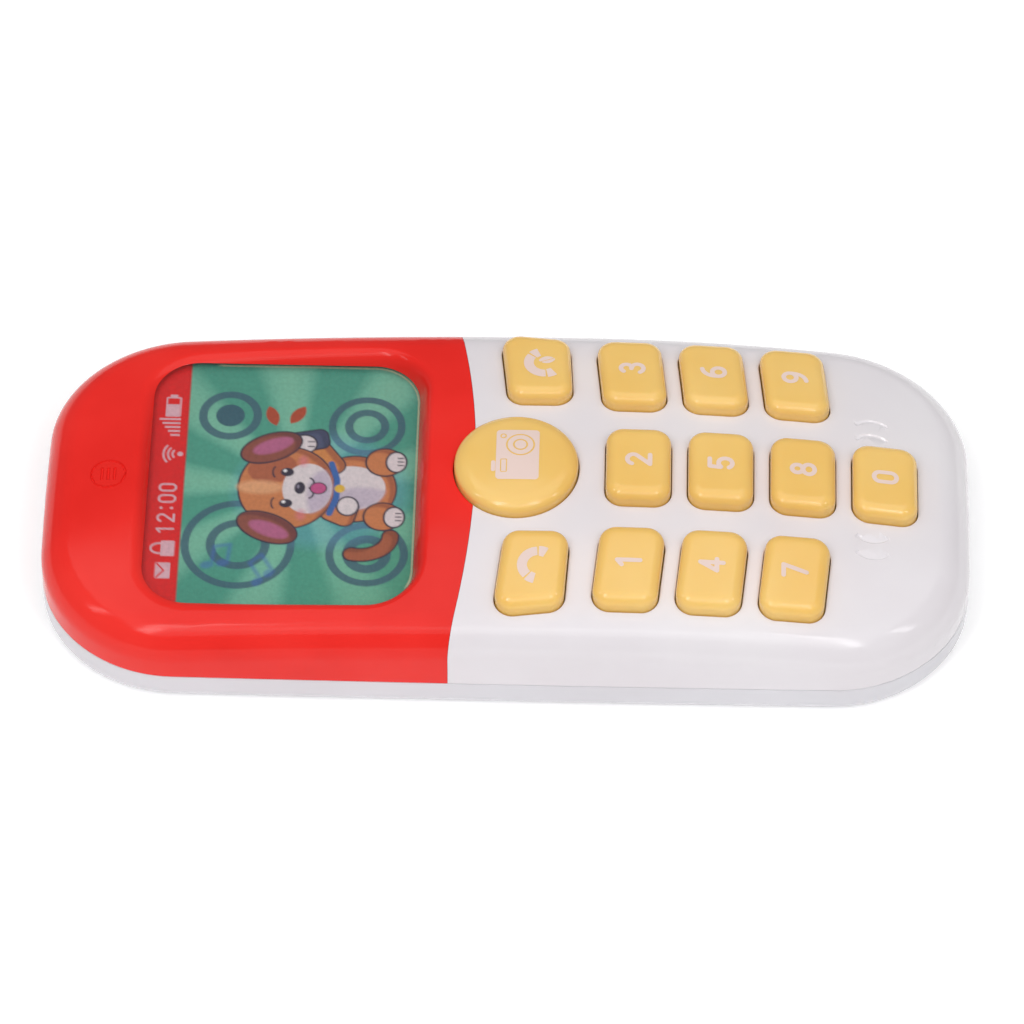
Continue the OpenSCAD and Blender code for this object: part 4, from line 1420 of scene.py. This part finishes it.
def make_door_plate():
    """Rounded plate of the battery door, with finger grooves and a screw well."""
    lift, creases = grooved(0, 16.6, count=5, pitch=1.6, length=10, width=0.7, depth=0.4)
    mouth, well = (circle(0, DOOR_SCREW_Y, r, 40) for r in (DOOR_WELL_R + 0.2, DOOR_WELL_R))
    plate = rounded_rect(DOOR_W, DOOR_L, DOOR_CORNER_R - DOOR_GAP, DOOR_MID, 8)
    rim = [(0.35, 0), (0.17, 0.05), (0.05, 0.17), (0, 0.35), (0, DOOR_T - 0.15), (0.15, DOOR_T)]
    loops = [offset_loop(plate, -a) for a, _ in rim]
    skin = Skin()
    skin.strip([at(loop, z) for loop, (_, z) in zip(loops, rim)], closed=True)
    skin.sheet(loops[0], [mouth], 2.5, lift, creases)
    skin.sheet(loops[-1], [], 4, flat(DOOR_T))
    skin.strip([at(mouth, 0), at(well, 0.2), at(well, DOOR_WELL_TOP)], closed=True)
    skin.fan(at(well, DOOR_WELL_TOP), (0, DOOR_SCREW_Y, DOOR_WELL_TOP))
    return skin.build("battery_door_plate")


def make_door_block():
    """Block inside the door that the captive screw passes through."""
    rims = ((0, DOOR_WELL_TOP), (0, 2.8), (0.2, 3.0))
    skin = Skin()
    skin.capped([at(corner_loop(8 - 2 * a, 5.7 - 2 * a, 0.6, BLOCK_Y), z) for a, z in rims])
    return skin.build("door_screw_block")


def make_door_hooks():
    """Two hooks at the door's top end, which catch behind the frame."""
    hook = [(64.6, 1.5), (64.6, 2.95), (64.75, 3.1), (68.6, 3.1), (69.0, 2.9)]
    hook += [(69.0, 2.4), (68.8, 2.3), (65.6, 2.3), (65.4, 2.1), (65.4, 1.5)]
    skin = Skin()
    for side in (-1, 1):
        rows = []
        for x, shrink in ((-2.5, 0.1), (-2.4, 0), (2.4, 0), (2.5, 0.1)):
            rows.append([(side * TAB_X + x, y + (shrink if y < 66 else -shrink), z) for y, z in hook])
        skin.strip(rows, closed=True)
        for row in (rows[0], rows[-1]):
            skin.fan(row, (row[0][0], HOOK_Y, 2.7))
    return skin.build("door_hooks")


def cross_loop(x, y, arm, half):
    """Outline of a cross recess."""
    p = [(arm, -half), (arm, half), (half, half), (half, arm), (-half, arm), (-half, half)]
    return [(x + a, y + b) for a, b in p] + [(x - a, y - b) for a, b in p]


def make_screws(name, body, node, places, z0, head_r, head_h, shank_r, shank_l):
    """Pan head screws that stand on their heads: cross recess below, rolled thread above."""
    skin = Skin()
    for x, y in places:
        arm, half = head_r * CROSS_ARM, head_r * CROSS_HALF
        cross = cross_loop(x, y, arm, half)
        bottom_z = z0 + head_h * CROSS_DEPTH
        bottom = at(cross_loop(x, y, arm * CROSS_TAPER, half * CROSS_TAPER), bottom_z)
        skin.sheet(circle(x, y, head_r - 0.5, 40), [cross], 0.7, flat(z0))
        skin.strip([at(cross, z0), bottom], closed=True)
        skin.fan(bottom, (x, y, bottom_z))
        profile = [(head_r - a, z0 + b) for a, b in reversed(round_over(0.5, 5))]
        seat, core_r = z0 + head_h, shank_r * CORE_R
        profile += [(head_r, seat - 0.1), (head_r - 0.1, seat), (core_r, seat)]
        turns = int((shank_l - 1) / THREAD_PITCH)
        for k in range(turns):
            z = seat + 0.3 + k * THREAD_PITCH
            profile += [(core_r, z), (shank_r, z + THREAD_PITCH * 0.35), (shank_r, z + THREAD_PITCH * 0.45)]
        profile += [(core_r, seat + 0.3 + turns * THREAD_PITCH), (shank_r * 0.25, seat + shank_l)]
        rows = [at(circle(x, y, r, 40), z) for r, z in profile]
        skin.strip(rows, closed=True)
        skin.fan(rows[-1], (x, y, rows[-1][0][2]))
    return dress(skin.build(name, 32, 0.001), STEEL, body, "steel", node)


def make_switch_knob():
    """Slide switch knob with three grip grooves, at the off end of its slot."""
    x, low, top = SWITCH_X - 1.6, 0.6, 4.1
    lift, creases = grooved(x, SWITCH_Y, count=3, pitch=0.6, length=1.5, width=0.22, depth=0.18)
    rim = [(0.25, 0), (0.07, 0.07), (0, 0.25), (0, 3.3), (0.2, 3.5)]
    loops = [corner_loop(2.4 - 2 * a, 2.2 - 2 * a, 0.5 - a, SWITCH_Y, x) for a, _ in rim]
    skin = Skin()
    skin.strip([at(loop, low + z) for loop, (_, z) in zip(loops, rim)], closed=True)
    skin.sheet(loops[0], [], 0.6, lambda u, v: low + lift(u, v), creases)
    skin.fan(at(loops[-1], top), (x, SWITCH_Y, top))
    return dress(skin.build("switch_slider"), DARK, "switch", "dark_parts", "switch_knob")


make_back_shell()
make_casing_bosses()
make_battery_bay()
for door_piece in (make_door_plate(), make_door_block(), make_door_hooks()):
    dress(door_piece, SHADED_BACK_WHITE, "door", "white_shell", "battery_door")
make_screws(
    "case_screws", "casing", "casing_screws", CASING_SCREWS, SCREW_SEAT - 1.6,
    head_r=2.5, head_h=1.6, shank_r=1.15, shank_l=8,
)
make_screws(
    "door_screw", "door", "battery_door_screw", [(0, DOOR_SCREW_Y)], 0.3,
    head_r=2.6, head_h=1.15, shank_r=1.1, shank_l=5.4,
)
make_switch_knob()

# ---------------------------------------------------------------- rubber mat under the keys

MAT_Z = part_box("keypad_mat")[0].z / MM
MAT_T = 0.6
POSTS = [(x, y) for x in (-10.8, 10.8) for y in (-16.5, -58)]
POST_HOLE_R = 1.75
DOME_GAP = 0.02
# Shares of a dome's height, with its radius there
DOME_PROFILE = [(-0.01, 4.1), (0.02, 3.9), (0.06, 3.7), (0.12, 3.55), (0.5, 2.9), (0.94, 2.4), (1, 2.25)]
RUBBER = moulded_plastic("silicone_rubber", "cfcfd3", "c6c6cb", "d8d8dc", 0.6, Subsurface_Weight=0.1)


def make_mat_sheet():
    """Flat sheet of the mat, with a hole for each post."""
    right = [(16.4, -72.4), (16.4, -59.4), (28.9, -59.4), (28.9, 2.4), (21.4, 2.4), (21.4, 9.4)]
    outline = dense(right + mirrored(right), 4)
    holes = [circle(x, y, POST_HOLE_R, 24) for x, y in POSTS]
    skin = Skin()
    for z in (MAT_Z, MAT_Z + MAT_T):
        skin.sheet(outline, holes, 5, flat(z))
    for loop in [outline] + holes:
        skin.strip([at(loop, MAT_Z), at(loop, MAT_Z + MAT_T)], closed=True)
    dress(skin.build("mat_sheet"), RUBBER, "casing", "silicone", "keypad_mat")


def make_dome(name, corners):
    """Rubber dome that carries a key's stem."""
    cx, cy = key_centre(corners)
    base = MAT_Z + MAT_T
    rows = []
    for t, r in DOME_PROFILE:
        ends = on_crown(circle(cx, cy, r, 36), -key_foot(corners) - DOME_GAP)
        rows.append([(x, y, base + (z - base) * t) for x, y, z in ends])
    skin = Skin()
    skin.capped(rows)
    dome = dress(skin.build(f"{name}_dome"), RUBBER, "casing", "silicone", "keypad_mat")
    height = crown(cx, cy) - key_foot(corners) - base
    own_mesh(dome)


make_mat_sheet()
for key_name, key_corners in ALL_KEYS.items():
    make_dome(key_name, key_corners)

# ---------------------------------------------------------------- finishes of the inner CAD nodes


def brushed_metal(name, base, deep, rough, stretch):
    """Metal with fine streaks, faint stains and a drawn grain."""
    mat = Mat(name, Metallic=1.0)
    streak = mat.noise(500, 3, 0.5, stretch)
    mat.drive("Base Color", mat.ramp(mat.noise(120, 4), [(0.3, rgb(deep)), (0.6, rgb(base))]))
    mat.drive("Roughness", mat.span(streak, rough * 0.7, rough * 1.4))
    mat.bump(streak, 0.3, 0.006)
    return mat.m


def board_resin(name):
    """Green solder mask with paler copper traces under it."""
    mat = Mat(name, Coat_Weight=0.5)
    lanes = mat.noise(160, 0, 0, (1, 0.12, 1))
    mask, trace = rgb("1c5f35"), rgb("2c7a45")
    mat.drive("Base Color", mat.ramp(lanes, [(0.44, mask), (0.47, trace), (0.53, trace), (0.56, mask)]))
    mat.drive("Roughness", mat.span(mat.noise(300, 3), 0.3, 0.5))
    mat.bump(lanes, 0.4, 0.03)
    return mat.m


def cell_jacket(name):
    """Battery jacket with a plain band at one end and faint wrap wrinkles."""
    mat = Mat(name, Metallic=0.4)
    place = mat.node("SeparateXYZ", Vector=mat.coords)
    along = mat.span(place.outputs["Y"], 0, 1, 0.0185, 0.0635)
    blue, copper = rgb("2f5fa6"), rgb("b87333")
    mat.drive("Base Color", mat.ramp(along, [(0.0, blue), (0.7, blue), (0.72, copper), (1.0, copper)]))
    mat.drive("Roughness", mat.span(mat.noise(200, 4), 0.22, 0.4))
    mat.bump(mat.noise(260, 2, 0.5, (1, 0.2, 1)), 0.3, 0.02)
    return mat.m


FROSTED = moulded_plastic("frosted_guide", "f0f0ea", "e8e8e0", "f6f6f2", 0.45, Transmission_Weight=0.2)
FINISHES = {
    "light_guide": FROSTED,
    "led_boards": board_resin("led_board_resin"),
    "leds": moulded_plastic("led_resin", "f6ecc6", "efe0a8", "fbf4da", 0.3, Subsurface_Weight=0.2),
    "circuit_board": board_resin("main_board_resin"),
    "sound_chip": moulded_plastic("chip_epoxy", "18181a", "121214", "202023", 0.35),
    "board_components": moulded_plastic("part_ceramic", "3c3c40", "303034", "4a4a4e", 0.45),
    "board_screws": STEEL,
    "speaker_frame": brushed_metal("zinc_frame", "8a8d92", "74777c", 0.35, (1, 1, 6)),
    "speaker_cone": moulded_plastic("cone_paper_fibre", "c8c1b0", "b9b19e", "d6d0c1", 0.85, grain=0.05),
    "speaker_magnet": brushed_metal("magnet_plate", "a4a6aa", "8b8d92", 0.28, (1, 1, 8)),
    "battery_contacts": brushed_metal("contact_plate", "c9cacd", "adafb3", 0.22, (8, 1, 1)),
    "battery_springs": brushed_metal("spring_wire", "c4c5c9", "a5a7ab", 0.2, (1, 6, 1)),
    "battery_1": cell_jacket("cell_jacket_a"),
    "battery_2": cell_jacket("cell_jacket_b"),
    "switch_body": brushed_metal("switch_can", "bfc1c4", "a6a8ac", 0.25, (6, 1, 1)),
    "speaker_wires": moulded_plastic("wire_cover_a", "a82a2a", "962222", "b83434", 0.4),
    "battery_wires": moulded_plastic("wire_cover_b", "8e2626", "7a1f1f", "a03030", 0.4),
}
for node_name, finish in FINISHES.items():
    for material_slot in bpy.data.objects[node_name].material_slots:
        material_slot.material = finish

# ---------------------------------------------------------------- stage, lights and camera

floor_mesh = bpy.data.meshes.new("floor")
bm = bmesh.new()
bmesh.ops.create_grid(bm, x_segments=2, y_segments=2, size=6)
bm.to_mesh(floor_mesh)
bm.free()
floor = bpy.data.objects.new("floor", floor_mesh)
floor.location.z = -0.0002
bpy.context.scene.collection.objects.link(floor)
floor_mat = Mat("floor_paper", Roughness=0.9, Emission_Strength=0.2, Emission_Color=(1, 1, 1, 1))
paper = floor_mat.ramp(floor_mat.noise(2), [(0.3, rgb("f8f8f8")), (0.7, rgb("fbfbfb"))])
floor_mat.drive("Base Color", paper)
floor_mesh.materials.append(floor_mat.m)

world = bpy.data.worlds.new("studio")
world.use_nodes = True
world.node_tree.nodes["Background"].inputs["Color"].default_value = (1, 1, 1, 1)
world.node_tree.nodes["Background"].inputs["Strength"].default_value = 0.2
bpy.context.scene.world = world
bpy.context.scene.view_settings.view_transform = "Standard"


def softbox(name, place, size, watts):
    """A rectangular area lamp that faces the phone, with its place and size in metres."""
    lamp = bpy.data.lights.new(name, "AREA")
    lamp.shape = "RECTANGLE"
    lamp.size, lamp.size_y = size
    lamp.energy = watts
    ob = bpy.data.objects.new(name, lamp)
    ob.location = place
    ob.rotation_mode = "QUATERNION"
    ob.rotation_quaternion = (Vector((0, 0, 0)) - Vector(place)).to_track_quat("-Z", "Y")
    bpy.context.scene.collection.objects.link(ob)


softbox("top_light", (-0.1, 0.0, 1.6), (2.2, 2.2), 17.8)
softbox("front_light", (-1.1, 0.0, 1.3), (1.6, 0.6), 4.1)
softbox("left_window", (-0.78, 0.56, 1.3), (0.24, 0.8), 3.4)
softbox("right_window", (-0.78, -0.56, 1.3), (0.24, 0.8), 2.6)
softbox("left_strip", (-0.35, 1.1, 1.0), (0.12, 0.5), 1.1)
softbox("right_strip", (-0.35, -1.1, 1.0), (0.12, 0.5), 1.1)

FOCAL_PX = 6920
IMAGE_PX = 1024
ELEVATION = math.radians(50)
TURN = math.radians(-0.83)
ROLL = math.radians(0.54)
DISTANCE = 1.1901
CENTRE_PX = (38, -42)
AIM = Vector((0, -0.0074, 0.0208))


def make_camera():
    """Camera on the phone's left side. CENTRE_PX is how far right and below the image's middle AIM falls."""
    level = math.cos(ELEVATION)
    back = Vector((-level * math.cos(TURN), level * math.sin(TURN), math.sin(ELEVATION)))
    place = AIM + DISTANCE * back
    right = (-back).cross(Vector((0, 0, 1))).normalized()
    up = right.cross(-back)
    tilted_right = math.cos(ROLL) * right + math.sin(ROLL) * up
    tilted_up = -math.sin(ROLL) * right + math.cos(ROLL) * up
    forward = (-back * FOCAL_PX - tilted_right * CENTRE_PX[0] + tilted_up * CENTRE_PX[1]).normalized()
    x_axis = forward.cross(tilted_up).normalized()
    y_axis = x_axis.cross(forward)
    data = bpy.data.cameras.new("camera")
    data.sensor_width = 36
    data.lens = FOCAL_PX * data.sensor_width / IMAGE_PX
    data.clip_start, data.clip_end = 0.05, 20
    ob = bpy.data.objects.new("camera", data)
    turn = Matrix((x_axis, y_axis, -forward)).transposed()
    ob.matrix_world = Matrix.Translation(place) @ turn.to_4x4()
    bpy.context.scene.collection.objects.link(ob)
    bpy.context.scene.camera = ob


make_camera()
